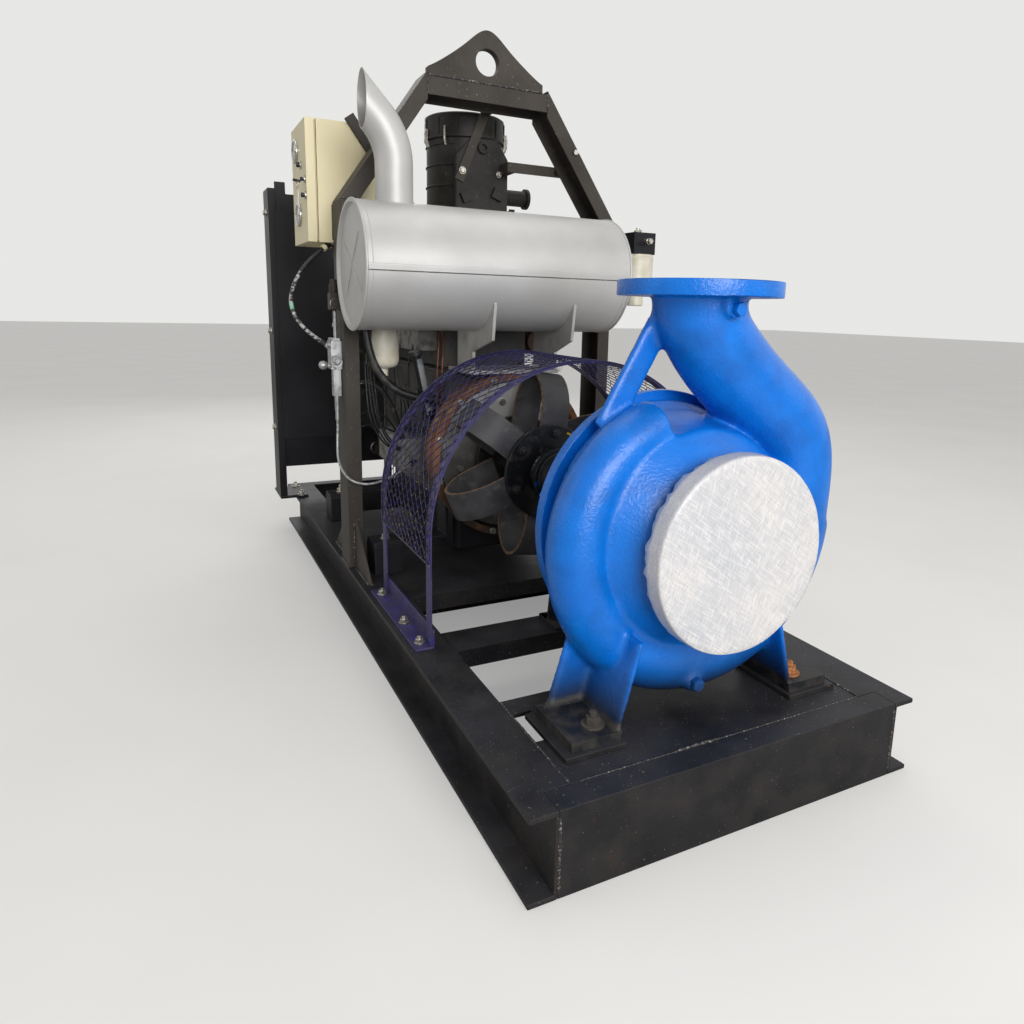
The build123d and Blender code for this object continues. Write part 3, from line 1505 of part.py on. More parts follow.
shelf_foot = left_filter_top + filter_head_height
shelf_front = 1135
shelf_outer = frame_outer - frame_leg_width
large_hose_start = Vector(-352, front + 1147, 872)
large_hose_next = Vector(-353, front + 1142, 820)
with BuildPart() as filter_heads:
    shelf_width = shelf_outer + left_filter_x + left_filter_radius
    shelf_length = left_filter_station + left_filter_radius - shelf_front
    with Locations((-shelf_outer + shelf_width / 2, front + shelf_front + shelf_length / 2,
                    shelf_foot + filter_shelf_thickness / 2)):
        Box(shelf_width, shelf_length, filter_shelf_thickness)
    with BuildSketch(Plane.XY.offset(left_filter_top)):
        with Locations((left_filter_x, front + left_filter_station)):
            Circle(left_filter_radius - 4)
    extrude(amount=filter_head_height)
    hose_aim = (large_hose_next - large_hose_start).normalized()
    with BuildSketch(Plane(origin=large_hose_start - hose_aim * 30, z_dir=hose_aim)):
        Circle(large_hose_radius + 3)
    extrude(amount=30)
    head_rise = right_filter_head_top - right_filter_top
    with Locations((right_filter_x, front + right_filter_station, right_filter_top + head_rise / 2)):
        Box(1.5 * right_filter_radius, 1.6 * right_filter_radius, head_rise)
    arm_start = right_filter_station + 0.8 * right_filter_radius
    with Locations((frame_outer - 10, front + (arm_start + frame_front) / 2, right_filter_top + head_rise / 2)):
        Box(18, frame_front - arm_start, head_rise - 14)
    with Locations((right_filter_x - 24, front + arm_start + 5, right_filter_top + head_rise / 2)):
        Box(70, 10, head_rise - 14)
filter_heads.part.label = "filter_heads"
export_step(filter_heads.part, "parts/filter_heads.step")

# Throttle actuator on the left post: body, lever, clevis and the cables' ferrules
panel_cable_route = (
    (-432, 1284, 1016),
    (-462, 1279, 989),
    (-492, 1270, 955),
    (-514, 1260, 917),
    (-525, 1250, 877),
    (-517, 1240, 838),
    (-494, 1228, 804),
    (-462, 1213, 777),
    (-444, 1204, 764),
)
throttle_cable_route = (
    (-420, 1200, 591),
    (-420, 1200, 545),
    (-424, 1194, 495),
    (-428, 1170, 447),
    (-412, 1132, 408),
    (-372, 1118, 392),
    (-326, 1120, 396),
    (-284, 1130, 410),
    (-250, 1146, 422),
    (-226, 1166, 430),
)
large_hose_route = (
    (-352, 1147, 872),
    (-353, 1142, 820),
    (-349, 1140, 765),
    (-329, 1138, 702),
    (-288, 1136, 652),
    (-236, 1133, 626),
    (-185, 1128, 618),
)
small_hose_route = (
    (-372, 1200, 657),
    (-335, 1199, 662),
    (-303, 1198, 648),
    (-280, 1199, 615),
    (-262, 1201, 578),
    (-250, 1204, 542),
    (-243, 1208, 508),
)


def place(point):
    """A point given from the skid's front edge, moved to the shared origin."""
    across, behind, up = point
    return Vector(across, front + behind, up)


def add_ferrule(end, before, radius, length):
    """A round ferrule that starts where a cord ends and points the way the cord was going."""
    aim = (place(end) - place(before)).normalized()
    with BuildSketch(Plane(origin=place(end), z_dir=aim)) as face:
        Circle(radius)
    extrude(face.sketch, amount=length)


with BuildPart() as throttle_actuator:
    actuator_x = -frame_outer - actuator_depth / 2
    with Locations((actuator_x, front + actuator_front + actuator_length / 2, (actuator_bottom + actuator_top) / 2)):
        Box(actuator_depth, actuator_length, actuator_top - actuator_bottom)
    with BuildSketch(station(actuator_front)):
        with Locations((actuator_x - 2, actuator_bottom + 20)):
            Circle(lever_radius)
    extrude(amount=12)
    with BuildSketch(Plane.XY.offset(clevis_bottom)):
        with Locations((-420, front + 1200)):
            Rectangle(20, 26)
    extrude(amount=actuator_bottom - clevis_bottom)
    with BuildSketch(Plane.XY.offset(ferrule_bottom)):
        with Locations((-420, front + 1200)):
            Circle(throttle_cable_radius + 3)
    extrude(amount=clevis_bottom - ferrule_bottom)
    add_ferrule(panel_cable_route[-1], panel_cable_route[-2], panel_cable_radius + 2, 22)
throttle_actuator.part.label = "throttle_actuator"
export_step(throttle_actuator.part, "parts/throttle_actuator.step")

# Small fittings on the engine and the post: oil filler, capped side pipe, ports where cords end
filler_foot = Vector(-block_side - oil_filler_radius - 8, front + oil_filler_station,
                     pump_axis_height + oil_filler_foot)
filler_top = Vector(-block_side - 60, front + oil_filler_station, pump_axis_height + oil_filler_top)
side_pipe_x = block_side + side_pipe_radius + 1
side_pipe_height = block_top + 8
with BuildPart() as engine_fittings:
    lean = (filler_top - filler_foot).normalized()
    with BuildSketch(Plane(origin=filler_foot, z_dir=lean)):
        Circle(oil_filler_radius)
    extrude(amount=(filler_top - filler_foot).length)
    with BuildSketch(Plane(origin=filler_top, z_dir=lean)):
        Circle(oil_filler_radius + 7)
    extrude(amount=10)
    with Locations((-block_side - 14, front + oil_filler_station, pump_axis_height + oil_filler_foot + 6)):
        Box(28, 34, 34)
    with BuildSketch(station(side_pipe_front)):
        with Locations((side_pipe_x, side_pipe_height)):
            Circle(side_pipe_radius)
    extrude(amount=-120)
    with Locations((block_side - 10, front + side_pipe_front + 102, block_top + 4)):
        Box(40, 24, 8)
    add_ferrule(large_hose_route[-1], large_hose_route[-2], large_hose_radius + 3, 40)
    add_ferrule(throttle_cable_route[-1], throttle_cable_route[-2], throttle_cable_radius + 3, 30)
    add_ferrule(small_hose_route[-1], small_hose_route[-2], small_hose_radius + 3, 30)
    add_ferrule(small_hose_route[0], small_hose_route[1], small_hose_radius + 3, 33)
    with Locations((0, front + engine_middle, (block_bottom + block_top) / 2)):
        Box(block_width, engine_length, block_top - block_bottom, mode=Mode.SUBTRACT)
    with Locations((injection_x, front + injection_middle, (injection_bottom + injection_top) / 2)):
        Box(injection_width, injection_length, injection_top - injection_bottom, mode=Mode.SUBTRACT)
    with Locations((-frame_outer + frame_wall - 10, front + frame_front + frame_depth / 2, frame_knee_height / 2)):
        Box(20, frame_depth, frame_knee_height, mode=Mode.SUBTRACT)
engine_fittings.part.label = "engine_fittings"
export_step(engine_fittings.part, "parts/engine_fittings.step")


# Cords and hoses: straight runs joined by the largest arcs that the runs allow
def corner_radii(points):
    radii = []
    for before, here, after in zip(points, points[1:], points[2:]):
        first = here - before
        second = after - here
        turn = math.radians(first.get_angle(second))
        radii.append(fillet_share * min(first.length, second.length) / math.tan(turn / 2))
    return radii


def add_cord(route, radius):
    points = [place(point) for point in route]
    radii = corner_radii(points)
    print("cord radii", [round(value) for value in radii])
    with BuildLine() as path:
        FilletPolyline(*points, radius=radii)
    wire = path.wires()[0]
    with BuildSketch(Plane(origin=wire @ 0, z_dir=wire % 0)) as section:
        Circle(radius)
    sweep(section.sketch, path=wire)
    print("cord length", round(wire.length), "section times length", round(math.pi * radius ** 2 * wire.length))


with BuildPart() as panel_cable:
    add_cord(panel_cable_route, panel_cable_radius)
panel_cable.part.label = "panel_cable"
export_step(panel_cable.part, "parts/panel_cable.step")

with BuildPart() as throttle_cable:
    add_cord(throttle_cable_route, throttle_cable_radius)
throttle_cable.part.label = "throttle_cable"
export_step(throttle_cable.part, "parts/throttle_cable.step")

with BuildPart() as large_hose:
    add_cord(large_hose_route, large_hose_radius)
large_hose.part.label = "large_hose"
export_step(large_hose.part, "parts/large_hose.step")

with BuildPart() as small_hose:
    add_cord(small_hose_route, small_hose_radius)
small_hose.part.label = "small_hose"
export_step(small_hose.part, "parts/small_hose.step")
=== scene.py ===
"""Diesel engine pump set on its skid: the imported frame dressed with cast, sheet and painted surfaces."""
import json
import math
import random

import bmesh
import bpy
from mathutils import Matrix, Vector, noise


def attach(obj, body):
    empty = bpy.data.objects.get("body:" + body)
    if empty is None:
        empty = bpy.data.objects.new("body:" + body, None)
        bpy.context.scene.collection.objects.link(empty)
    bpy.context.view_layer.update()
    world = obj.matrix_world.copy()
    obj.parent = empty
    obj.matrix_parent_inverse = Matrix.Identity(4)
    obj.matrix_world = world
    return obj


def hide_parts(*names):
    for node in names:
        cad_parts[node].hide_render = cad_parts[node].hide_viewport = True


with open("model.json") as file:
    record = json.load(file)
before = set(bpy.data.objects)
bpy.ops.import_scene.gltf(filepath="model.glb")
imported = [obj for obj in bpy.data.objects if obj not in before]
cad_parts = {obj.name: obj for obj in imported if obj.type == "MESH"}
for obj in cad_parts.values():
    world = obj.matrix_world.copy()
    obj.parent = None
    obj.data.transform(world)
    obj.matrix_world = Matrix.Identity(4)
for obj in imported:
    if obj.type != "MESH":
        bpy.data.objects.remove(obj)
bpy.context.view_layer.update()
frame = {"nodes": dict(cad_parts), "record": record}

# Places below are in workshop millimetres: across from the middle, back from the skid's front edge, up
SKID_FRONT = -1120
MM = 0.001


def metres(point):
    """A place in workshop millimetres as a vector in the frame's metres."""
    across, back, up = point
    return Vector((across, back + SKID_FRONT, up)) * MM


# Camera, fitted to the photograph; the focal length and optical centre are in pixels of its frame
PICTURE_SIZE = 1024
SENSOR_WIDTH = 36
FOCAL_LENGTH = 745.17
OPTICAL_CENTRE = (543.38, 453.74)
eye = Vector((-0.842, -1.9667, 0.8722))
heading = math.radians(27.297)
dip = math.radians(11.011)
roll = math.radians(1.41)
forward = Vector((math.sin(heading) * math.cos(dip), math.cos(heading) * math.cos(dip), -math.sin(dip)))
level_right = Vector((math.cos(heading), -math.sin(heading), 0))
level_up = level_right.cross(forward)
camera_right = level_right * math.cos(roll) + level_up * math.sin(roll)
camera_up = level_up * math.cos(roll) - level_right * math.sin(roll)
camera_data = bpy.data.cameras.new("camera")
camera_data.sensor_width = SENSOR_WIDTH
camera_data.lens = FOCAL_LENGTH * SENSOR_WIDTH / PICTURE_SIZE
camera_data.shift_x = (PICTURE_SIZE / 2 - OPTICAL_CENTRE[0]) / PICTURE_SIZE
camera_data.shift_y = (OPTICAL_CENTRE[1] - PICTURE_SIZE / 2) / PICTURE_SIZE
camera = bpy.data.objects.new("camera", camera_data)
bpy.context.scene.collection.objects.link(camera)
camera.matrix_world = Matrix((
    (camera_right.x, camera_up.x, -forward.x, eye.x),
    (camera_right.y, camera_up.y, -forward.y, eye.y),
    (camera_right.z, camera_up.z, -forward.z, eye.z),
    (0, 0, 0, 1)))
bpy.context.scene.camera = camera
bpy.context.scene.view_settings.view_transform = "Standard"


# Materials
def linear(code):
    """An sRGB hex colour as linear red, green, blue and alpha."""
    channels = [int(code[start:start + 2], 16) / 255 for start in (1, 3, 5)]
    return tuple(c / 12.92 if c <= 0.04045 else ((c + 0.055) / 1.055) ** 2.4 for c in channels) + (1.0,)


def add_node(tree, kind, inputs=None, **settings):
    """Adds one node with its settings; each input takes a value or the output socket that feeds it."""
    node = tree.nodes.new(kind)
    for name, value in settings.items():
        setattr(node, name, value)
    for socket, value in (inputs or {}).items():
        if isinstance(value, bpy.types.NodeSocket):
            tree.links.new(value, node.inputs[socket])
        else:
            node.inputs[socket].default_value = value
    return node


def patches(colour, size, above, soft, **more):
    """A layer: one colour in noise patches of a size in millimetres, where the noise is above a level."""
    return {"colour": colour, "size": size, "above": above, "soft": soft, **more}


def bump(size, depth, **more):
    """A relief whose features have a size and a depth in millimetres."""
    return {"size": size, "depth": depth, **more}


def grain(tree, place, pattern, detail):
    """The noise of a layer or a bump, drawn out along the axes by its stretch."""
    shift = pattern.get("shift", 0.0)
    stretch = pattern.get("stretch", (1, 1, 1))
    mapped = add_node(tree, "ShaderNodeMapping", {
        "Vector": place, "Location": (shift, shift, shift), "Rotation": (0, pattern.get("turn", 0.0), 0),
        "Scale": tuple(pattern["size"] * MM * share for share in stretch)}, vector_type="TEXTURE")
    return add_node(tree, "ShaderNodeTexNoise", {
        "Vector": mapped.outputs[0], "Scale": 1.0, "Detail": detail}).outputs[0]


def layer_share(tree, place, layer):
    """How far a layer covers, from 0 to 1: noise patches, kept to upward faces, low places or the far end."""
    share = add_node(tree, "ShaderNodeMapRange", {
        "Value": grain(tree, place, layer, 4.0), "From Min": layer["above"] - layer["soft"],
        "From Max": layer["above"] + layer["soft"], "To Max": layer.get("amount", 1.0)}).outputs[0]
    limits = []
    if "settles" in layer:
        outward = add_node(tree, "ShaderNodeTexCoord").outputs["Normal"]
        upward = add_node(tree, "ShaderNodeSeparateXYZ", {0: outward}).outputs[2]
        limits.append(add_node(tree, "ShaderNodeMapRange", {
            "Value": upward, "From Min": layer["settles"], "From Max": 1.0}).outputs[0])
    if "below" in layer:
        height = add_node(tree, "ShaderNodeSeparateXYZ", {0: place}).outputs[2]
        limits.append(add_node(tree, "ShaderNodeMapRange", {
            "Value": height, "From Min": layer["below"] * MM,
            "From Max": (layer["below"] - layer["fade"]) * MM}).outputs[0])
    if "beyond" in layer:
        depth = add_node(tree, "ShaderNodeSeparateXYZ", {0: place}).outputs[1]
        start = layer["beyond"] + SKID_FRONT
        limits.append(add_node(tree, "ShaderNodeMapRange", {
            "Value": depth, "From Min": start * MM, "From Max": (start + layer["fade"]) * MM}).outputs[0])
    for limit in limits:
        share = add_node(tree, "ShaderNodeMath", {0: share, 1: limit}, operation="MULTIPLY").outputs[0]
    return share


def surface(name, colour, roughness, metallic=0.0, layers=(), bumps=(), **sockets):
    """A finish: one ground colour, layers of other colours over it, and bumps from coarse to fine."""
    material = bpy.data.materials.new(name)
    material.use_nodes = True
    tree = material.node_tree
    shader = tree.nodes["Principled BSDF"]
    shader.inputs["Base Color"].default_value = linear(colour)
    shader.inputs["Roughness"].default_value = roughness
    shader.inputs["Metallic"].default_value = metallic
    for socket, value in sockets.items():
        shader.inputs[socket.replace("_", " ")].default_value = value
    material.diffuse_color = linear(colour)
    place = add_node(tree, "ShaderNodeTexCoord").outputs["Object"]
    colour_out = rough_out = metal_out = None
    for layer in layers:
        share = layer_share(tree, place, layer)
        mixed = add_node(tree, "ShaderNodeMix", {
            0: share, 6: colour_out or linear(colour), 7: linear(layer["colour"])}, data_type="RGBA")
        colour_out = mixed.outputs[2]
        rough_out = add_node(tree, "ShaderNodeMix", {
            0: share, 2: rough_out or roughness, 3: layer.get("rough", roughness)}).outputs[0]
        if metallic or "metal" in layer:
            metal_out = add_node(tree, "ShaderNodeMix", {
                0: share, 2: metal_out or metallic, 3: layer.get("metal", 0.0)}).outputs[0]
    if colour_out:
        tree.links.new(colour_out, shader.inputs["Base Color"])
        tree.links.new(rough_out, shader.inputs["Roughness"])
    if metal_out:
        tree.links.new(metal_out, shader.inputs["Metallic"])
    bent = None
    for relief in bumps:
        inputs = {"Height": grain(tree, place, relief, 3.0), "Distance": relief["depth"] * MM}
        if bent:
            inputs["Normal"] = bent
        bent = add_node(tree, "ShaderNodeBump", inputs).outputs[0]
    if bent:
        tree.links.new(bent, shader.inputs["Normal"])
    return material


# Brushed-on black enamel: nearly black, half gloss, with settled dust and a painted blue-grey sheen on upward
# faces, worn spots and rust at the edges
skid_paint = surface("black_enamel_on_rolled_steel", "#18181b", 0.38, layers=[
    patches("#232224", 180, 0.5, 0.16, rough=0.5),
    patches("#3a3530", 70, 0.6, 0.16, rough=0.7, amount=0.5),
    # Upward faces: settled dust, and a painted blue-grey sheen where the decks catch the light
    patches("#45464c", 120, 0.5, 0.2, rough=0.5, settles=0.5, amount=0.4),
    patches("#4a2c19", 11, 0.735, 0.02, rough=0.9),
    patches("#8a857b", 4, 0.7, 0.02, rough=0.9, amount=0.75),
], bumps=[bump(30, 0.4), bump(4, 0.25)], Specular_IOR_Level=0.2)
# The same enamel on the frame and sheet work: cleaner, with dust where it can lie
frame_paint = surface("black_enamel_on_bent_sheet", "#37332f", 0.5, layers=[
    patches("#4a4540", 180, 0.5, 0.22, rough=0.6),
    patches("#6f675d", 60, 0.52, 0.12, rough=0.85, settles=0.4, amount=0.5),
    patches("#262321", 60, 0.62, 0.16, rough=0.45, amount=0.5),
    patches("#8a8275", 7, 0.7, 0.03, rough=0.85, amount=0.6),
], bumps=[bump(40, 0.4), bump(3, 0.12)], Specular_IOR_Level=0.2)
# Clean gloss black on the radiator, the shroud and the small castings, with little dust
radiator_paint = surface("black_enamel_on_folded_sheet", "#17161a", 0.36, layers=[
    patches("#232226", 200, 0.5, 0.18, rough=0.46),
    patches("#4c4740", 50, 0.6, 0.12, rough=0.8, settles=0.4, amount=0.4),
    patches("#5a554e", 5, 0.72, 0.02, rough=0.8, amount=0.6),
], bumps=[bump(60, 0.5), bump(3, 0.08)], Specular_IOR_Level=0.2)
# Gloss enamel over a sand casting: saturated blue, wet highlights broken by the casting's orange-peel skin
pump_enamel = surface("blue_gloss_enamel_on_sand_casting", "#0368c8", 0.26, layers=[
    patches("#0c78da", 150, 0.5, 0.16, rough=0.3, amount=0.6),
    patches("#04529f", 60, 0.58, 0.12, rough=0.33, amount=0.5),
    patches("#101114", 30, 0.22, 0.22, rough=0.42, beyond=455, fade=40),
    patches("#14161a", 40, 0.1, 0.1, rough=0.5, below=276, fade=92),
    patches("#4c463e", 30, 0.54, 0.14, rough=0.85, below=192, fade=6, amount=0.5),
], bumps=[bump(26, 0.8), bump(5, 0.8), bump(2, 0.22)], Specular_IOR_Level=0.4)
# Stretch film in many thin layers: milky white, satin, with fine drawn creases in several directions
film_skin = surface("stretch_film_wound_in_layers", "#c9c6c5", 0.4, layers=[
    patches("#aab0ba", 130, 0.52, 0.16, rough=0.42, amount=0.7),
    patches("#dedad8", 2.4, 0.56, 0.1, rough=0.3, stretch=(14, 1, 1), turn=0.6, amount=0.7),
    patches("#a4a8b0", 2.4, 0.58, 0.1, rough=0.45, stretch=(14, 1, 1), turn=-0.9, shift=2.0, amount=0.5),
    patches("#e2dfdd", 2.2, 0.6, 0.08, rough=0.3, stretch=(16, 1, 1), turn=1.8, shift=5.0, amount=0.6),
], bumps=[
    bump(7, 0.5, stretch=(9, 1, 1), turn=0.5),
    bump(5, 0.4, stretch=(9, 1, 1), turn=-0.9, shift=3.0),
    bump(2.5, 0.2, stretch=(12, 1, 1), turn=1.7, shift=7.0),
], Coat_Weight=0.25)
# Turned steel with a light brown bloom
turned_steel = surface("turned_steel", "#a09c94", 0.38, 1.0, layers=[
    patches("#6e5136", 24, 0.58, 0.08, rough=0.8, metal=0.1),
], bumps=[bump(2, 0.05)])
# Blackened bolts of the coupling, and zinc-plated fasteners, grey-bright with dull patches
blackened_steel = surface("blackened_steel", "#3a3a3c", 0.42, 0.7, layers=[
    patches("#1c1c1d", 6, 0.52, 0.08, rough=0.5, metal=0.3),
])
plated_steel = surface("zinc_plated_steel", "#b4b1a8", 0.36, 1.0, layers=[
    patches("#7d776b", 5, 0.58, 0.06, rough=0.6, metal=0.6),
])
# Orange-brown rust on the bare foot bolt
rusty_steel = surface("rusted_steel", "#8a5631", 0.9, 0.0, layers=[
    patches("#b57a48", 4, 0.52, 0.06, rough=0.95),
], bumps=[bump(2, 0.4)])
# Blacked iron of the coupling's discs: near black, greasy sheen, dusty rim
hub_iron = surface("blacked_cast_iron", "#151517", 0.34, 0.2, layers=[
    patches("#35322e", 20, 0.62, 0.08, rough=0.65, metal=0.0, amount=0.6),
    patches("#5b4733", 7, 0.72, 0.03, rough=0.9, metal=0.0),
], bumps=[bump(6, 0.2)])
# Ply rubber of the coupling's straps: dark grey, painted darker than the rubber to stand for the shade in the
# coupling's loops, chalky with dust, cords just visible along the cut edge
strap_ply_darkened_as_shade = surface("ply_rubber_darkened_as_painted_shade", "#303032", 0.52, layers=[
    patches("#48474a", 90, 0.5, 0.18, rough=0.6),
    patches("#1c1c1e", 50, 0.6, 0.14, rough=0.48, shift=2.0, amount=0.6),
    patches("#6d6860", 24, 0.66, 0.08, rough=0.8, amount=0.5),
], bumps=[bump(3, 0.12), bump(16, 0.25)])
# The straps' cut edges, where the tan ply cords show
strap_edge_ply = surface("cut_ply_edge", "#7d624a", 0.8, layers=[
    patches("#4a3c30", 10, 0.52, 0.1, rough=0.85),
    patches("#a58a6c", 2.2, 0.6, 0.05, rough=0.9, amount=0.7),
], bumps=[bump(1.5, 0.2)])
# Tan primer on the flywheel housing, browned by rust and handling, with painted shade darkening its lower
# part
housing_primer = surface("tan_primer_on_iron_with_painted_shade", "#8f5f3a", 0.7, layers=[
    patches("#5a3a22", 110, 0.48, 0.16, rough=0.85),
    patches("#b08a66", 50, 0.62, 0.08, rough=0.6, amount=0.6),
    # Painted shade: the housing's lower part darkened to near black
    patches("#1f1a17", 60, 0.28, 0.24, rough=0.6, below=520, fade=200, amount=0.9),
], bumps=[bump(8, 0.4)])
# Machined white-silver face of the flywheel, with brown stains and painted shade darkening its lower part
flywheel_face_with_painted_shade = surface("ground_steel_face_with_painted_shade", "#b9b8b5", 0.42, 0.4, layers=[
    patches("#857c6f", 60, 0.58, 0.1, rough=0.7, metal=0.2, amount=0.7),
    # Painted shade: the flywheel's lower part darkened to near black
    patches("#1e1a18", 60, 0.26, 0.24, rough=0.6, metal=0.0, below=600, fade=130, amount=0.9),
], bumps=[bump(1.5, 0.06)])
# Grey engine enamel, oily and dusty, its grey painted darker to stand for the shade the engine sits in
engine_enamel_darkened_as_shade = surface("grey_engine_enamel_darkened_as_painted_shade", "#2b2b2b", 0.5, layers=[
    patches("#3f3b36", 50, 0.52, 0.1, rough=0.75),
    patches("#1c1c1d", 24, 0.6, 0.07, rough=0.35),
], bumps=[bump(9, 0.8), bump(2.5, 0.25)])
# Sand-cast aluminium: dull silver, fine grit
cast_aluminium = surface("sand_cast_aluminium", "#7d7d7b", 0.55, 0.85, layers=[
    patches("#5a554d", 30, 0.56, 0.09, rough=0.8, metal=0.2),
], bumps=[bump(2.5, 0.25)])
# Silver heat paint sprayed on rolled sheet: satin metal flake, browner and darker towards the bottom
heat_paint = surface("silver_heat_paint_on_sheet", "#b3b2b0", 0.5, 0.3, layers=[
    patches("#bfbebc", 170, 0.5, 0.16, rough=0.46, metal=0.35),
    patches("#9d9892", 240, 0.6, 0.12, rough=0.46, metal=0.25, shift=4.0, amount=0.4),
    patches("#77685a", 60, 0.58, 0.12, rough=0.6, metal=0.1, below=850, fade=60, amount=0.5),
], bumps=[bump(90, 1.0), bump(1.4, 0.04)])
# A strip of painted shade under the silencer's lock seam
seam_painted_shade = surface("painted_shade_under_seam", "#5c5956", 0.7, 0.2, layers=[
    patches("#7d7a76", 9, 0.6, 0.06, rough=0.7),
])
# Heat-browned iron of the exhaust log
manifold_iron = surface("heat_browned_iron", "#4a3a31", 0.75, 0.2, layers=[
    patches("#7a5238", 22, 0.55, 0.08, rough=0.9, metal=0.0),
], bumps=[bump(4, 0.5)])
# Textured powder coat on the panel's sheet: warm cream, fine even grain
panel_coat = surface("cream_textured_powder_coat", "#e6dab4", 0.48, layers=[
    patches("#dccfa4", 150, 0.52, 0.16, rough=0.52, amount=0.5),
    patches("#8f876c", 5, 0.745, 0.02, rough=0.8, amount=0.6),
], bumps=[bump(1.8, 0.08)])
# Black moulded dial bodies and knobs
dial_plastic = surface("black_moulded_abs", "#17181a", 0.35, layers=[
    patches("#3a3a3a", 8, 0.66, 0.04, rough=0.6, amount=0.6),
])
# Chrome bezels: a mirror that picks up the pale room
chrome_bezel = surface("chromed_steel", "#bdbcb8", 0.2, 1.0, layers=[
    patches("#8c8a85", 6, 0.68, 0.04, rough=0.4, metal=0.8),
])
# Dark dial behind a domed glass, whose coat gives the sharp glint
dial_face = surface("dark_dial_under_glass", "#1c1d1f", 0.35, layers=[
    patches("#33332f", 22, 0.54, 0.08, rough=0.45),
], Coat_Weight=1.0, Coat_Roughness=0.03)
# Deep indigo paint on the guard, chalky, with pale weld spatter and dust
guard_paint = surface("indigo_paint_on_expanded_metal", "#19163f", 0.4, layers=[
    patches("#25235f", 30, 0.52, 0.1, rough=0.42),
    patches("#100e28", 14, 0.6, 0.07, rough=0.5),
    patches("#8a6a4c", 9, 0.6, 0.05, rough=0.85, below=640, fade=260, amount=0.8),
], bumps=[bump(4, 0.2)])
# The same indigo on the guard's legs and feet, paler where dust has dried on it, with weld spatter
guard_frame_paint = surface("indigo_paint_on_flat_bar", "#2c2656", 0.42, layers=[
    patches("#403a5c", 60, 0.5, 0.14, rough=0.55),
    patches("#2a2a86", 26, 0.6, 0.08, rough=0.4, amount=0.7),
    patches("#b3a89d", 6, 0.7, 0.02, rough=0.85, amount=0.8),
], bumps=[bump(4, 0.2)])
# Finned core: dull grey-black aluminium
core_fins = surface("dusty_radiator_fins", "#34363a", 0.6, 0.6, layers=[
    patches("#4b4740", 160, 0.52, 0.2, rough=0.85, metal=0.1, amount=0.6),
], bumps=[bump(3, 0.4, stretch=(40, 1, 1))])
# Moulded black canister of the air filter: matt, scuffed grey
filter_plastic = surface("black_moulded_polypropylene", "#171514", 0.48, layers=[
    patches("#2c2927", 60, 0.5, 0.14, rough=0.55),
    patches("#5c564e", 12, 0.68, 0.05, rough=0.8, amount=0.5),
], bumps=[bump(2, 0.08)], Specular_IOR_Level=0.25)
# Cream-white enamelled filter cans
filter_enamel = surface("cream_enamel_on_drawn_can", "#ddd8c8", 0.3, layers=[
    patches("#c8c0a8", 40, 0.54, 0.1, rough=0.4, amount=0.7),
], bumps=[bump(14, 0.15)])
# Smooth extruded rubber hose, black with a soft shine
hose_rubber = surface("extruded_rubber", "#1a1a1b", 0.34, layers=[
    patches("#45423d", 20, 0.6, 0.07, rough=0.7, amount=0.7),
], bumps=[bump(2, 0.06)])
belt_rubber = surface("ribbed_belt_rubber", "#161616", 0.6, layers=[
    patches("#3b3833", 12, 0.58, 0.07, rough=0.85),
], bumps=[bump(3, 0.3)])
fan_plastic = surface("black_moulded_nylon", "#1b1c1d", 0.45, layers=[
    patches("#4f4a42", 30, 0.56, 0.08, rough=0.85),
])
# Black sleeve of the panel's cable with silver-white streaks along it, and one mint sleeve
cable_sleeve = surface("black_pvc_sleeve", "#232324", 0.38, layers=[
    patches("#bdbdba", 7, 0.52, 0.04, rough=0.35, stretch=(2, 1, 1), amount=0.9),
], bumps=[bump(2, 0.15)])
mint_sleeve = surface("mint_pvc_sleeve", "#8fc6ab", 0.4, layers=[
    patches("#74a98f", 6, 0.56, 0.06, rough=0.5),
])
tape_black = surface("black_pvc_tape", "#202021", 0.38, layers=[
    patches("#4a4846", 4, 0.6, 0.05, rough=0.6),
])
# Wound steel control cable under a clear grey cover
cable_steel = surface("control_cable_sheath", "#a3a4a4", 0.36, 0.5, layers=[
    patches("#6f6e6b", 8, 0.58, 0.06, rough=0.6, metal=0.3),
])
clear_tube = surface("clear_pvc_tube", "#c9ccce", 0.2, layers=[
    patches("#8c9aa8", 20, 0.55, 0.08, rough=0.3),
], Transmission_Weight=0.6, IOR=1.45)
copper_pipe = surface("drawn_copper_pipe", "#5d3a28", 0.45, 0.7, layers=[
    patches("#3f2a1e", 14, 0.54, 0.08, rough=0.6, metal=0.4),
])
# Zinc casting of the throttle actuator: clean, light grey, oil in its corners
zinc_casting = surface("zinc_pressure_casting", "#a7a8a8", 0.42, 0.75, layers=[
    patches("#6a6967", 20, 0.58, 0.1, rough=0.5, metal=0.6, amount=0.7),
], bumps=[bump(2, 0.06)])
marker_yellow = surface("yellow_marker_paint", "#d8b52c", 0.6, layers=[
    patches("#9a7d1d", 5, 0.58, 0.06, rough=0.8),
])
tag_white = surface("white_tag_plastic", "#e8e6e0", 0.4, layers=[
    patches("#c4c0b6", 6, 0.6, 0.06, rough=0.6),
])
weld_steel = surface("painted_weld_bead", "#2b2a2b", 0.42, 0.2, layers=[
    patches("#8d8780", 5, 0.6, 0.05, rough=0.6, metal=0.3),
    patches("#5a3a24", 9, 0.66, 0.04, rough=0.9, metal=0.0),
])

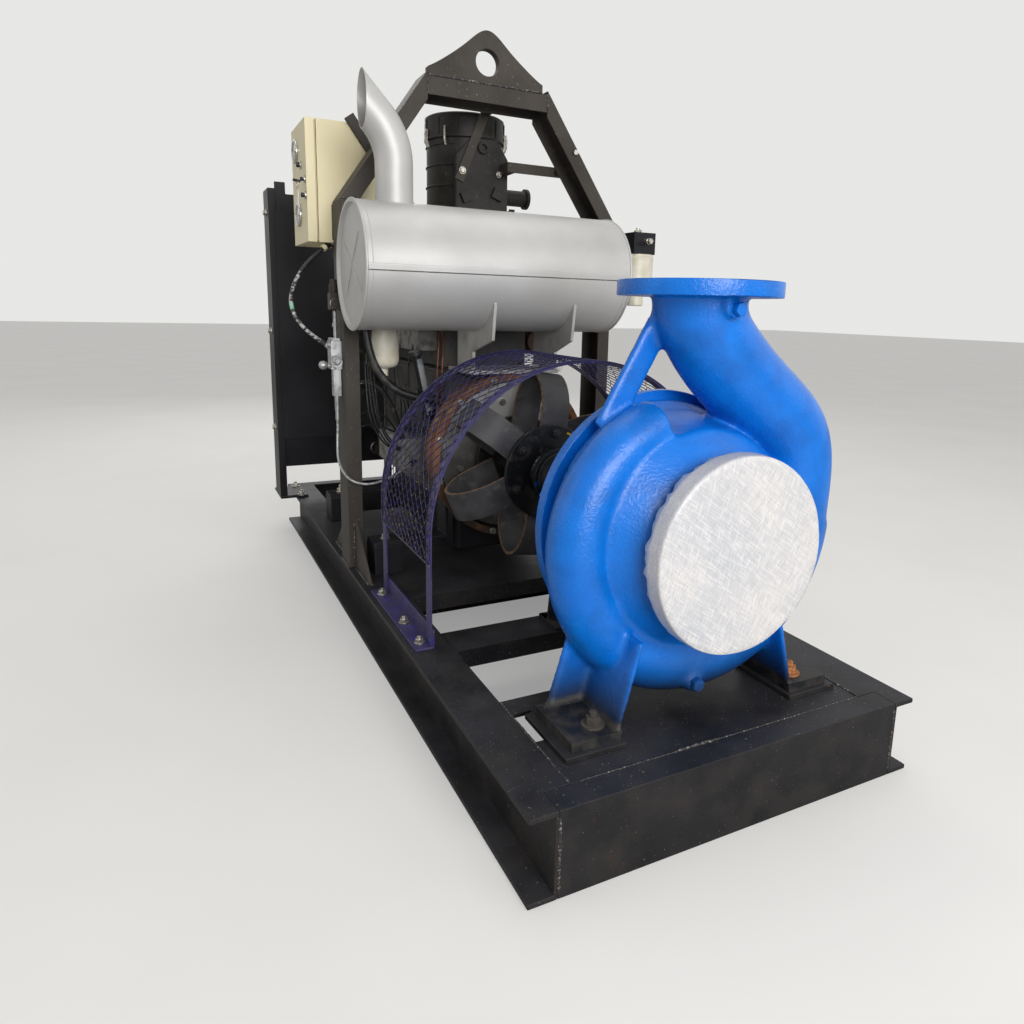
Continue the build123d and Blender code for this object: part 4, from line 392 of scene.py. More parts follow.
finishes = {
    "skid_black": skid_paint, "pump_blue": pump_enamel, "stretch_film": film_skin, "bare_steel": turned_steel,
    "hub_black": hub_iron, "strap_rubber": strap_ply_darkened_as_shade, "housing_primer": housing_primer,
    "engine_grey": engine_enamel_darkened_as_shade, "engine_aluminium": cast_aluminium, "heat_silver": heat_paint,
    "frame_black": frame_paint, "panel_beige": panel_coat, "gauge_black": dial_plastic,
    "guard_indigo": guard_paint, "core_aluminium": core_fins, "filter_black": filter_plastic,
    "filter_white": filter_enamel, "belt_rubber": belt_rubber, "hose_rubber": hose_rubber,
    "manifold_iron": manifold_iron, "cable_grey": cable_sleeve, "cable_steel": cable_steel,
    "fan_plastic": fan_plastic,
}
slot_of_node = {part["node"]: part["material_slot"] for part in frame["record"]["subparts"]}
body_of_node = {}
for body_name, members in frame["record"]["behaviour"]["bodies"].items():
    for member in members:
        body_of_node[member] = body_name


# Cords: the route's points are those of the solids
def add_cord(name, node, route, diameter, finish):
    """A cord on a smooth line along its route, which stands for the node's solid."""
    curve = bpy.data.curves.new(name, "CURVE")
    curve.dimensions = "3D"
    curve.bevel_depth = diameter * MM / 2
    curve.bevel_resolution = 4
    curve.resolution_u = 16
    curve.use_fill_caps = True
    spline = curve.splines.new("NURBS")
    spline.points.add(len(route) - 1)
    for point, place in zip(spline.points, route):
        point.co = (*metres(place), 1.0)
    spline.order_u = 3
    spline.use_endpoint_u = True
    cord = bpy.data.objects.new(name, curve)
    bpy.context.scene.collection.objects.link(cord)
    curve.materials.append(finish)
    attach(cord, "root")
    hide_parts(node)
    return cord


panel_cable_route = (
    (-432, 1284, 1016), (-462, 1279, 989), (-492, 1270, 955), (-514, 1260, 917), (-525, 1250, 877),
    (-517, 1240, 838), (-494, 1228, 804), (-462, 1213, 777), (-444, 1204, 764))
throttle_cable_route = (
    (-420, 1200, 591), (-420, 1200, 545), (-424, 1194, 495), (-428, 1170, 447), (-412, 1132, 408),
    (-372, 1118, 392), (-326, 1120, 396), (-284, 1130, 410), (-250, 1146, 422), (-226, 1166, 430))
large_hose_route = (
    (-352, 1147, 872), (-353, 1142, 820), (-349, 1140, 765), (-329, 1138, 702), (-288, 1136, 652),
    (-236, 1133, 626), (-185, 1128, 618))
small_hose_route = (
    (-372, 1200, 657), (-335, 1199, 662), (-303, 1198, 648), (-280, 1199, 615), (-262, 1201, 578),
    (-250, 1204, 542), (-243, 1208, 508))
panel_cable = add_cord("panel_cable_sleeve", "panel_cable", panel_cable_route, 10,
                       cable_sleeve)
add_cord("throttle_cable_sheath", "throttle_cable", throttle_cable_route, 7, cable_steel)
add_cord("large_coolant_hose", "large_hose", large_hose_route, 22, hose_rubber)
add_cord("small_coolant_hose", "small_hose", small_hose_route, 14, hose_rubber)


# Mesh helpers, all in workshop millimetres
def square_frame(axis):
    """Two directions square to an axis and to each other."""
    axis = Vector(axis).normalized()
    aside = axis.cross(Vector((0, 0, 1)))
    if aside.length < 0.01:
        aside = Vector((1, 0, 0))
    aside.normalize()
    return axis, aside, axis.cross(aside).normalized()


def around(turn, plane="xz"):
    """The outward and the sideways direction at a turn in radians."""
    cos, sin = math.cos(turn), math.sin(turn)
    if plane == "xz":
        return Vector((cos, 0, sin)), Vector((-sin, 0, cos))
    return Vector((0, cos, sin)), Vector((0, -sin, cos))


def bridge_rings(bm, rings, close_ends=True, loop=False):
    """Faces from each ring of points to the next, with both ends closed unless the rings run in a loop."""
    count = len(rings[0])
    pairs = list(zip(rings, rings[1:])) + ([(rings[-1], rings[0])] if loop else [])
    for low, high in pairs:
        for index in range(count):
            after = (index + 1) % count
            bm.faces.new((low[index], low[after], high[after], high[index]))
    if close_ends and not loop:
        bm.faces.new(rings[0])
        bm.faces.new(rings[-1])


def turned(bm, profile, centre, axis, sides=40, close_ends=True):
    """A turned shape: profile is a run of (radius, distance along the axis) from the centre."""
    axis, aside, up = square_frame(axis)
    centre = Vector(centre)
    rings = []
    for radius, along in profile:
        ring = []
        for index in range(sides):
            angle = 2 * math.pi * index / sides
            out = (aside * math.cos(angle) + up * math.sin(angle)) * max(radius, 0.01)
            ring.append(bm.verts.new(centre + axis * along + out))
        rings.append(ring)
    bridge_rings(bm, rings, close_ends)


def run_of(bm, path, radius, sides=12, loop=False, flatten=1.0):
    """A round bar along a path; radius is one size or one for each point."""
    path = [Vector(point) for point in path]
    count = len(path)
    radii = radius if hasattr(radius, "__len__") else [radius] * count
    rings = []
    across = None
    for index, point in enumerate(path):
        ahead = path[(index + 1) % count] if loop or index < count - 1 else point
        behind = path[index - 1] if loop or index > 0 else point
        direction = (ahead - behind).normalized()
        if across is None:
            across = square_frame(direction)[1]
        across = (across - direction * across.dot(direction)).normalized()
        up = direction.cross(across)
        ring = []
        for step in range(sides):
            angle = 2 * math.pi * (step + 0.5) / sides
            ring.append(bm.verts.new(
                point + (across * math.cos(angle) + up * math.sin(angle) * flatten) * radii[index]))
        rings.append(ring)
    bridge_rings(bm, rings, loop=loop)


def arc_points(centre, start, end, radius, plane="xz", steps=12):
    """Points along an arc, from one angle in degrees to another, in a plane of two axes."""
    points = []
    for step in range(steps + 1):
        angle = math.radians(start + (end - start) * step / steps)
        first, second = math.cos(angle) * radius, math.sin(angle) * radius
        offset = {"xz": (first, 0, second), "yz": (0, first, second), "xy": (first, second, 0)}[plane]
        points.append(Vector(centre) + Vector(offset))
    return points


def rounded_run(points, radius, steps=6):
    """The points of a bent tube: straight runs with a round corner at each inner point."""
    points = [Vector(point) for point in points]
    path = [points[0]]
    for before, here, after in zip(points, points[1:], points[2:]):
        back, ahead = (before - here), (after - here)
        reach = min(radius, back.length * 0.45, ahead.length * 0.45)
        first, last = here + back.normalized() * reach, here + ahead.normalized() * reach
        for step in range(steps + 1):
            share = step / steps
            path.append(first.lerp(here, share).lerp(here.lerp(last, share), share))
    path.append(points[-1])
    return path


def prism(bm, outline, origin, first, second, depth):
    """An outline in the plane of two directions, pushed by depth along their cross product."""
    first, second = Vector(first).normalized(), Vector(second).normalized()
    push = first.cross(second).normalized() * depth
    rings = []
    for offset in (Vector((0, 0, 0)), push):
        rings.append([bm.verts.new(Vector(origin) + first * u + second * v + offset) for u, v in outline])
    bridge_rings(bm, rings)


def block(bm, low, high):
    """A square-edged bar or pad between two corners."""
    width, length, height = (high[axis] - low[axis] for axis in range(3))
    prism(bm, [(0, 0), (width, 0), (width, length), (0, length)], low, (1, 0, 0), (0, 1, 0), height)


def hex_head(bm, seat, axis, flats, height, washer=0.0, washer_height=2.5, turn=0.0, stud=0.0):
    """A hexagon head on its seat, with an optional washer below it and stud end above it."""
    axis, aside, up = square_frame(axis)
    seat = Vector(seat)
    rise = 0.0
    if washer:
        chamfer = washer_height * 0.7
        turned(bm, [(washer, 0), (washer, chamfer), (washer - 0.5, washer_height)], seat, axis, 24)
        rise = washer_height
    corner = flats / math.sqrt(3)
    rings = []
    for share, along in ((1, 0), (1, height * 0.82), (0.88, height)):
        ring = []
        for index in range(6):
            angle = math.radians(60 * index + turn)
            out = (aside * math.cos(angle) + up * math.sin(angle)) * corner * share
            ring.append(bm.verts.new(seat + axis * (rise + along) + out))
        rings.append(ring)
    bridge_rings(bm, rings)
    if stud:
        turned(bm, [(flats * 0.29, height), (flats * 0.29, height + stud - 1), (flats * 0.22, height + stud)],
               seat + axis * rise, axis, 12)


def weld_bead(bm, start, end, radius, seed):
    """A laid weld: a lumpy bar whose ripples are a little over a millimetre apart where it shows."""
    start, end = Vector(start), Vector(end)
    draw = random.Random(seed)
    count = max(4, int((end - start).length / (radius * 0.9)))
    points, radii = [], []
    for index in range(count + 1):
        share = index / count
        points.append(start.lerp(end, share) + Vector([draw.uniform(-0.12, 0.12) * radius for _ in range(3)]))
        radii.append(radius * draw.uniform(0.75, 1.1) * (0.5 if index in (0, count) else 1.0))
    run_of(bm, points, radii, 8)


def make_piece(bm, name, finish, body="root", angle=35, stands_for=(), bevel=0.0):
    """Turns workshop millimetres into the frame's metres and hands the piece to its body."""
    bmesh.ops.remove_doubles(bm, verts=bm.verts, dist=0.002)
    bmesh.ops.recalc_face_normals(bm, faces=bm.faces)
    for vertex in bm.verts:
        vertex.co = metres(vertex.co)
    return make_object(loose_mesh(bm, name), name, finish, body, angle, stands_for, bevel)


def make_object(mesh, name, finish, body, angle=35, stands_for=(), bevel=0.0):
    """A mesh in metres as a piece, its edges rounded by bevel millimetres, with its finish and its body."""
    piece = bpy.data.objects.new(name, mesh)
    bpy.context.scene.collection.objects.link(piece)
    if bevel:
        edges = piece.modifiers.new("edges", "BEVEL")
        edges.width = bevel * MM
        edges.segments = 2
        edges.limit_method = "ANGLE"
        edges.angle_limit = math.radians(38)
        bake_modifiers(piece)
    piece.data.materials.clear()
    piece.data.materials.append(finish)
    for face in piece.data.polygons:
        face.use_smooth = True
    piece.data.set_sharp_from_angle(angle=math.radians(angle))
    # Large flat faces stay flat beside their rounded edges
    flats = piece.modifiers.new("flat_faces", "WEIGHTED_NORMAL")
    flats.keep_sharp = True
    bake_modifiers(piece)
    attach(piece, body)
    if stands_for:
        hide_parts(*stands_for)
    return piece


def bake_modifiers(piece):
    """Puts the result of a piece's modifiers in its mesh."""
    graph = bpy.context.evaluated_depsgraph_get()
    result = bpy.data.meshes.new_from_object(piece.evaluated_get(graph))
    piece.modifiers.clear()
    piece.data = result


def node_mesh(node, join_flats=True):
    """A copy of a CAD node's mesh in metres, its flat faces joined up unless told otherwise."""
    bm = bmesh.new()
    bm.from_mesh(frame["nodes"][node].data)
    bmesh.ops.remove_doubles(bm, verts=bm.verts, dist=2e-6)
    if join_flats:
        bmesh.ops.dissolve_limit(bm, angle_limit=math.radians(0.6), verts=bm.verts, edges=bm.edges)
    return bm


def loose_mesh(bm, name):
    """A mesh with the faces of bm, which it uses up."""
    mesh = bpy.data.meshes.new(name)
    bm.to_mesh(mesh)
    bm.free()
    return mesh


def dress_node(node, edge, finish=None, angle=35):
    """Stands a copy of the node in its place, with its edges rounded as the real metal has them."""
    slot = slot_of_node[node]
    mesh = loose_mesh(node_mesh(node), node + "_dressed")
    return make_object(mesh, node + "_dressed", finish or finishes[slot], body_of_node[node], angle,
                       (node,), edge)


# CAD nodes whose shape is right keep it and take their finish
for name, node_object in frame["nodes"].items():
    node_object.data.materials.clear()
    node_object.data.materials.append(finishes[slot_of_node[name]])
    for face in node_object.data.polygons:
        face.use_smooth = True
    node_object.data.set_sharp_from_angle(angle=math.radians(35))
finish_of_node = {
    "guard_feet": guard_frame_paint, "guard_hoops": guard_frame_paint, "throttle_actuator": zinc_casting,
    "radiator_tanks": radiator_paint, "radiator_channels": radiator_paint, "fan_shroud": radiator_paint,
    "oil_pan": radiator_paint, "engine_mounts": radiator_paint, "engine_fittings": radiator_paint,
    "starter_motor": radiator_paint, "filter_heads": radiator_paint, "flywheel": flywheel_face_with_painted_shade,
}
for name, finish in finish_of_node.items():
    frame["nodes"][name].data.materials[0] = finish

# Edge radii in millimetres of the plain metalwork
rolled_edges = {
    "rails": 1.6, "end_channels": 1.8, "cross_members": 2.0, "decks": 1.2, "foot_pads": 1.5, "posts": 2.0,
    "arms": 2.0, "lifting_beam": 1.5, "guard_feet": 1.2, "guard_hoops": 0.8, "silencer_brackets": 1.0,
    "bracket_support": 1.2, "panel_brackets": 1.0, "filter_bars": 1.0, "radiator_channels": 1.6,
}
cast_edges = {
    "casing_cover": 3.0, "bearing_bracket": 3.0, "flywheel_housing": 3.0, "engine_block": 7.0, "oil_pan": 8.0,
    "cylinder_head": 5.0, "timing_case": 6.0, "engine_mounts": 3.0, "alternator": 3.0, "starter_motor": 3.0,
    "intake_manifold": 8.0, "injection_pump": 2.0, "filter_heads": 3.0, "coupling_front_hub": 1.2,
    "coupling_rear_hub": 1.5, "radiator_tanks": 6.0, "panel_box": 1.0, "panel_door": 1.2,
    "throttle_actuator": 2.0,
}
for node, edge in {**rolled_edges, **cast_edges}.items():
    dress_node(node, edge, finish_of_node.get(node))

# Pump casing
AXIS_UP = 475
DISCHARGE_BACK = 210
FLANGE_UNDER = 899
FOOT_TOP = 178
FLANGE_BACK = 76
VOXEL = 4.4


def bolt_circle(bm, count, first, radius, back, facing, flats, height, washer, washer_height, twist,
                stud=0.0):
    """Bolt heads evenly round the shaft's line, each one twisted a little more than the last."""
    for index in range(count):
        spoke = around(math.radians(first + 360 / count * index))[0]
        hex_head(bm, Vector((0, back, AXIS_UP)) + spoke * radius, (0, facing, 0), flats, height, washer,
                 washer_height, index * twist, stud)


def casing_sketch():
    """The casing's solid with the shapes that only the casting has, before its corners are filled."""
    bm = node_mesh("pump_casing", join_flats=False)
    extra = bmesh.new()
    pad = [(-19.5, 34)] + [(19.5 * math.cos(a), 19.5 * math.sin(a)) for a in
                           [math.radians(180 + 15 * step) for step in range(13)]] + [(19.5, 34)]
    prism(extra, pad, (6, 142, 882), (1, 0, 0), (0, 0, 1), 24)
    turned(extra, [(20, 0), (20, 36), (17, 40)], (-9, 182, 207), (0, -1, 0), 32)
    # The neck is filled up for the remesh, because its wall round the bore is thinner than a voxel
    turned(extra, [(60, 0), (76, 10), (76, 72)], (0, DISCHARGE_BACK, 858), (0, 0, 1), 64)
    for vertex in extra.verts:
        vertex.co = metres(vertex.co)
    bmesh.ops.recalc_face_normals(extra, faces=extra.faces)
    bm.from_mesh(loose_mesh(extra, "casing_extra"))
    return bm


casting = bpy.data.objects.new("pump_casting", loose_mesh(casing_sketch(), "casing_sketch"))
bpy.context.scene.collection.objects.link(casting)
voxels = casting.modifiers.new("voxels", "REMESH")
voxels.mode = "VOXEL"
voxels.voxel_size = VOXEL * MM
bake_modifiers(casting)


def is_machined(co):
    """The flanges and the soles of the feet, which keep their crisp shape."""
    across, back, up = co.x / MM, co.y / MM - SKID_FRONT, co.z / MM
    from_discharge = math.hypot(across, back - DISCHARGE_BACK)
    from_axis = math.hypot(across, up - AXIS_UP)
    return (up > FLANGE_UNDER - 2 and from_discharge > 108) or up > FLANGE_UNDER + 5 \
        or up < FOOT_TOP + 1 or (back < FLANGE_BACK - 1 and from_axis > 135) or back < FLANGE_BACK - 8


skin = casting.vertex_groups.new(name="skin")
skin.add([vertex.index for vertex in casting.data.vertices if not is_machined(vertex.co)], 1.0, "REPLACE")
smooth = casting.modifiers.new("fillets", "SMOOTH")
smooth.vertex_group = "skin"
smooth.factor = 0.5
smooth.iterations = 16
collar = casting.vertex_groups.new(name="collar")
COLLAR_FOOT, COLLAR_TOP = 862, 893


def is_collar(co):
    """The neck just under its flange, apart from the plug's boss: no step shows in it."""
    across, back, up = co.x / MM, co.y / MM - SKID_FRONT, co.z / MM
    return COLLAR_FOOT < up < COLLAR_TOP and not (abs(across - 6) < 32 and back < 165)


collar.add([vertex.index for vertex in casting.data.vertices if is_collar(vertex.co)], 1.0, "REPLACE")
even = casting.modifiers.new("even_collar", "SMOOTH")
even.vertex_group = "collar"
even.factor = 0.5
even.iterations = 40
bake_modifiers(casting)
bm = bmesh.new()
bm.from_mesh(casting.data)
doomed = [face for face in bm.faces if all(is_machined(vertex.co) for vertex in face.verts)]
bmesh.ops.delete(bm, geom=doomed, context="FACES")
machined = node_mesh("pump_casing")
for cut_at, outward in (((0, 0, FLANGE_UNDER - 0.5), (0, 0, 1)), ((0, 0, FOOT_TOP + 0.2), (0, 0, -1)),
                        ((0, FLANGE_BACK + 0.5, 0), (0, -1, 0))):
    kept = machined.copy()
    bmesh.ops.bisect_plane(kept, geom=kept.verts[:] + kept.edges[:] + kept.faces[:], plane_co=metres(cut_at),
                           plane_no=outward, clear_inner=True)
    crisp = bpy.data.objects.new("machined", loose_mesh(kept, "machined"))
    bpy.context.scene.collection.objects.link(crisp)
    rounding = crisp.modifiers.new("edges", "BEVEL")
    rounding.width = 1.8 * MM
    rounding.segments = 2
    rounding.limit_method = "ANGLE"
    rounding.angle_limit = math.radians(40)
    bake_modifiers(crisp)
    bm.from_mesh(crisp.data)
    bpy.data.objects.remove(crisp)
machined.free()
bpy.data.objects.remove(casting)
make_object(loose_mesh(bm, "pump_casting"), "pump_casting", pump_enamel, "root", 50,
            ("pump_casing",))

# The discharge flange's turned rim, over the casting's coarser one
bm = bmesh.new()
turned(bm, [(134, 900), (134, 899.2), (141.2, 899.2), (142.9, 900.8), (142.9, 923.4), (141.2, 925.1),
            (134, 925.1), (134, 900)], (0, DISCHARGE_BACK, 0), (0, 0, 1), 128, False)
make_piece(bm, "discharge_flange_rim", pump_enamel, angle=50)

# The passage inside the neck, as deep as one sees into it: across, up, heading, radius
PASSAGE_MOUTH = FLANGE_UNDER + 1
PASSAGE = ((0, PASSAGE_MOUTH, 90, 74.8), (0, 876, 90, 72), (14, 846, 110, 69), (50, 800, 130, 67),
           (104, 755, 138, 66), (104, 755, 138, 1))
PASSAGE_WALL = 1.5
bm = bmesh.new()
rings = []
for wall, stations in ((0, PASSAGE), (PASSAGE_WALL, PASSAGE[::-1])):
    for across, up, heading, radius in stations:
        onward, sideways = around(math.radians(heading))
        sink = 0 if up == PASSAGE_MOUTH else wall
        middle = Vector((across, DISCHARGE_BACK, up)) - onward * sink
        ring = []
        for index in range(64):
            turn = 2 * math.pi * index / 64
            out = Vector((0, math.sin(turn), 0)) - sideways * math.cos(turn)
            ring.append(bm.verts.new(middle + out * (radius + wall)))
        rings.append(ring)
bridge_rings(bm, rings, loop=True)
make_piece(bm, "discharge_passage", pump_enamel, angle=50)

# Plugs and bolts of the pump
bm = bmesh.new()
hex_head(bm, (6, 118, 879), (0, -1, 0), 22, 12, 15, 2, 12)
hex_head(bm, (-9, 142, 207), (0, -1, 0), 24, 12, 16, 2, 20)
bolt_circle(bm, 12, 15, 238, 324, 1, 18, 10, 0, 0, 13, 6)
bolt_circle(bm, 8, 22.5, 138, 354, 1, 18, 10, 0, 0, 17, 5)
make_piece(bm, "pump_plugs_and_nuts", pump_enamel)
for hand, finish in ((-1, frame_paint), (1, rusty_steel)):
    bm = bmesh.new()
    hex_head(bm, (hand * 225, 141, FOOT_TOP), (0, 0, 1), 24, 13, 21, 3, 10 if hand < 0 else 35, 9)
    make_piece(bm, "pump_foot_bolt_" + ("left" if hand < 0 else "right"), finish)

# Stretch film over the suction flange
FILM_RADIUS = 171.6
FILM_FRONT = 48.6
FILM_WRAP = 50
bm = bmesh.new()
rings = []
FILM_SIDES = 160
stations = [(FILM_RADIUS * (step / 26) ** 0.8, 0.0) for step in range(1, 25)]
stations += [(FILM_RADIUS - 2.2, 0.6), (FILM_RADIUS - 0.4, 3.0)]
stations += [(FILM_RADIUS, 6.0 + (FILM_WRAP - 6) * step / 10) for step in range(0, 11)]
for radius, back in stations:
    ring = []
    for index in range(FILM_SIDES):
        ray = around(2 * math.pi * index / FILM_SIDES)[0]
        share = radius / FILM_RADIUS
        crease = noise.noise(Vector((ray.x * 9, ray.z * 9, back * 0.02))) * 1.6
        fine = noise.noise(Vector((ray.x * 34, ray.z * 34, back * 0.05))) * 0.7
        out = radius + (crease * 0.5 + fine * 0.4 + 0.8) * max(0.0, back - 1) / 24
        tuck = 0.0
        if back > 34:
            tuck = (back - 34) * (0.55 + 0.45 * noise.noise(Vector((ray.x * 13, 2.0, ray.z * 13))))
        dent = 1.5 * noise.noise(Vector((ray.x * share * 2.2, ray.z * share * 2.2, 4.0)))
        pull = 0.8 * noise.noise(Vector((ray.x * share * 8, ray.z * share * 8, 9.0)))
        loose = (dent + pull - 1.2) * (1 if back < 1 else 0.2)
        front = FILM_FRONT + back + min(loose, 0.0) + 0.5
        ring.append(bm.verts.new((ray.x * (out - tuck), front, AXIS_UP + ray.z * (out - tuck))))
    rings.append(ring)
hub = bm.verts.new((0, FILM_FRONT - 0.8, AXIS_UP))
for index in range(FILM_SIDES):
    bm.faces.new((hub, rings[0][index], rings[0][(index + 1) % FILM_SIDES]))
bridge_rings(bm, rings, close_ends=False)
film = make_piece(bm, "film_over_suction_flange", film_skin, angle=60,
                  stands_for=("suction_film",))

# Silencer: lock seam along the front, rolled rims, pressed ends
SILENCER_BACK, SILENCER_UP, SILENCER_RADIUS = 991, 963, 152
SILENCER_LEFT, SILENCER_RIGHT = -424, 278
SEAM_TURN = math.radians(182.5)


def strip_along_silencer(bm, turn, half, proud, root, steps):
    """A strip along the shell at a turn, half wide to each side, with a root that is a little wider."""
    outline = []
    for radius, reach, order in ((SILENCER_RADIUS + proud, half, range(-steps, steps + 1)),
                                 (SILENCER_RADIUS - 0.3, root, range(steps, -steps - 1, -1))):
        for step in order:
            angle = turn + step * reach / steps / SILENCER_RADIUS
            outline.append((math.cos(angle) * radius, math.sin(angle) * radius))
    prism(bm, outline, (SILENCER_LEFT + 6, SILENCER_BACK, SILENCER_UP), (0, 1, 0), (0, 0, 1),
          SILENCER_RIGHT - SILENCER_LEFT - 12)


bm = bmesh.new()
strip_along_silencer(bm, SEAM_TURN, 6.5, 2.4, 6.5 + 0.8, 4)
for index in range(112):
    across = SILENCER_LEFT + 12 + index * 6.1
    seat = (across, SILENCER_BACK + math.cos(SEAM_TURN) * (SILENCER_RADIUS + 2.3),
            SILENCER_UP + math.sin(SEAM_TURN) * (SILENCER_RADIUS + 2.3) + 1.5)
    turned(bm, [(1.3, 0), (1.1, 0.5), (0.5, 0.8)], seat, (0, -1, 0), 6)
for edge, inward in ((SILENCER_LEFT, 1), (SILENCER_RIGHT, -1)):
    for inset, sunk, thick, sides in ((3.2, 0.6, 3.4, 10), (17, 0.4, 1.1, 6)):
        rim = arc_points((edge + inward * inset, SILENCER_BACK, SILENCER_UP), 0, 360 - 360 / 96,
                         SILENCER_RADIUS - sunk, "yz", 95)
        run_of(bm, rim, thick, sides, loop=True)
make_piece(bm, "silencer_seams", heat_paint, angle=50)
bm = bmesh.new()
for turn, reach, wide in ((35, 220, 2.6), (-48, 200, 2.3)):
    line = around(math.radians(turn), "yz")[0] * reach
    middle = Vector((SILENCER_LEFT + 5.0, SILENCER_BACK, SILENCER_UP))
    path = [middle + line * (step / 10 - 0.5) for step in range(11)]
    widths = [wide * (0.35 + 0.65 * math.sin(math.pi * step / 10)) for step in range(11)]
    run_of(bm, path, widths, 10, flatten=0.25)
make_piece(bm, "silencer_end_dents", heat_paint, angle=50)
# A narrow dark strip of painted shade just under the seam
bm = bmesh.new()
strip_along_silencer(bm, SEAM_TURN + 8.2 / SILENCER_RADIUS, 1.1, 0.5, 1.1, 1)
make_piece(bm, "silencer_seam_painted_shade", seam_painted_shade)

# Outlet pipe: a bead at the foot and the rim
bm = bmesh.new()
foot_ring = []
for step in range(48):
    angle = 2 * math.pi * step / 48
    across, back = math.cos(angle) * 46.5, math.sin(angle) * 46.5
    rise = math.sqrt(SILENCER_RADIUS ** 2 - back ** 2)
    foot_ring.append((-314 + across, SILENCER_BACK + back, SILENCER_UP + rise))
run_of(bm, foot_ring, 2.6, 8, loop=True)
make_piece(bm, "outlet_weld", heat_paint)

# Guard: expanded metal with rhombic holes between the hoops
GUARD_FRONT, GUARD_LENGTH, GUARD_RADIUS, GUARD_UP, MESH_FOOT = 579, 376, 367.6, 395, 337
STRAND = 1.25
ROWS = 38
CELLS = 11
straight = GUARD_UP - MESH_FOOT
arch_length = math.pi * GUARD_RADIUS + 2 * straight


def on_arch(along, back):
    """A place on the guard's arch, from its left foot over the top to its right foot."""
    if along < straight:
        return Vector((-GUARD_RADIUS, back, MESH_FOOT + along))
    if along > arch_length - straight:
        return Vector((GUARD_RADIUS, back, MESH_FOOT + arch_length - along))
    angle = math.pi - (along - straight) / GUARD_RADIUS
    return Vector((math.cos(angle) * GUARD_RADIUS, back, GUARD_UP + math.sin(angle) * GUARD_RADIUS))


bm = bmesh.new()
row_pitch = arch_length / ROWS
cell_pitch = (GUARD_LENGTH - 4) / CELLS
for row in range(ROWS):
    for far in (0.04, 0.96):
        path = []
        for step in range(CELLS * 2 + 1):
            along = (row + (far if step % 2 else 0.5)) * row_pitch
            along = min(max(along, 0.5), arch_length - 0.5)
            path.append(on_arch(along, GUARD_FRONT + 2 + step * cell_pitch / 2))
        run_of(bm, path, STRAND, 4)
for back in (GUARD_FRONT + 1.8, GUARD_FRONT + GUARD_LENGTH - 1.8):
    run_of(bm, [on_arch(arch_length * step / 90, back) for step in range(91)], 1.8, 6)
for foot in (0.0, arch_length):
    run_of(bm, [on_arch(foot, GUARD_FRONT + 1), on_arch(foot, GUARD_FRONT + GUARD_LENGTH - 1)], 1.8, 6)
make_piece(bm, "guard_expanded_mesh", guard_paint, stands_for=("guard_mesh",))
bm = bmesh.new()
for hand in (-1, 1):
    for back in (GUARD_FRONT + 34, GUARD_FRONT + 150, GUARD_FRONT + 340):
        hex_head(bm, (hand * 380, back, 155), (0, 0, 1), 17, 8, 12, 2, back, 5)
make_piece(bm, "guard_foot_bolts", plated_steel)

# Coupling: bolts through both discs, clamp plates over the straps' roots, tan ply on the straps' cut edges
HUB_FACE, HUB_BOSS_FACE, DISC_THICKNESS, STRAP_THICKNESS, STRAP_TURN = 749, 723, 12, 8, 22
straps = dress_node("coupling_straps", 0.6)
straps.data.materials.append(strap_edge_ply)
for face in straps.data.polygons:
    turn = math.atan2(face.center.z / MM - AXIS_UP, face.center.x / MM)
    step = round((math.degrees(turn) - STRAP_TURN) / 60)
    turn = math.radians(STRAP_TURN + 60 * step)
    if abs(-math.sin(turn) * face.normal.x + math.cos(turn) * face.normal.z) > 0.9:
        face.material_index = 1
bm = bmesh.new()
plates = bmesh.new()
for index in range(6):
    turn = math.radians(STRAP_TURN + 60 * index)
    for disc_face, outward in ((HUB_FACE, -1), (942, 1)):
        seat = (math.cos(turn) * 97, disc_face, AXIS_UP + math.sin(turn) * 97)
        hex_head(bm, seat, (0, outward, 0), 19, 9, 13, 2.5, index * 21, 4)
    spoke, aside = around(turn)
    plate_back = HUB_FACE + DISC_THICKNESS + STRAP_THICKNESS + 5.2
    outline = [(-30, 74), (30, 74), (30, 116), (-30, 116)]
    prism(plates, outline, Vector((0, plate_back, AXIS_UP)), aside, spoke, 5)
    hex_head(bm, Vector((0, plate_back, AXIS_UP)) + spoke * 97, (0, 1, 0), 19, 10, 0, 0, index * 9, 4)
make_piece(bm, "coupling_bolts", blackened_steel, "rotor")
make_piece(plates, "coupling_clamp_plates", hub_iron, "rotor", bevel=1.0)
bm = bmesh.new()
turned(bm, [(30, 0), (30, 3), (26, 4.5)], (0, HUB_BOSS_FACE, AXIS_UP), (0, -1, 0), 32)
for index in range(3):
    spoke = around(math.radians(100 + 120 * index))[0]
    hex_head(bm, Vector((0, HUB_BOSS_FACE, AXIS_UP)) + spoke * 36, (0, -1, 0), 10, 5)
make_piece(bm, "coupling_hub_cap", hub_iron, "rotor")
bm = bmesh.new()
prism(bm, [(-9, 0), (8, 1), (9, 6), (-8, 5)], (52, HUB_FACE - 0.4, AXIS_UP + 90), (1, 0, -0.5), (0.5, 0, 1),
      0.5)
make_piece(bm, "coupling_timing_mark", marker_yellow, "rotor")
bm = bmesh.new()
for index in range(118):
    spoke, aside = around(2 * math.pi * index / 118)
    prism(bm, [(-3.0, 193), (3.0, 193), (1.6, 200.4), (-1.6, 200.4)], (0, 1012, AXIS_UP), aside, spoke, 14)
bolt_circle(bm, 8, 10, 150, 985, -1, 17, 8, 0, 0, 25)
make_piece(bm, "flywheel_ring_and_bolts", turned_steel, "rotor")

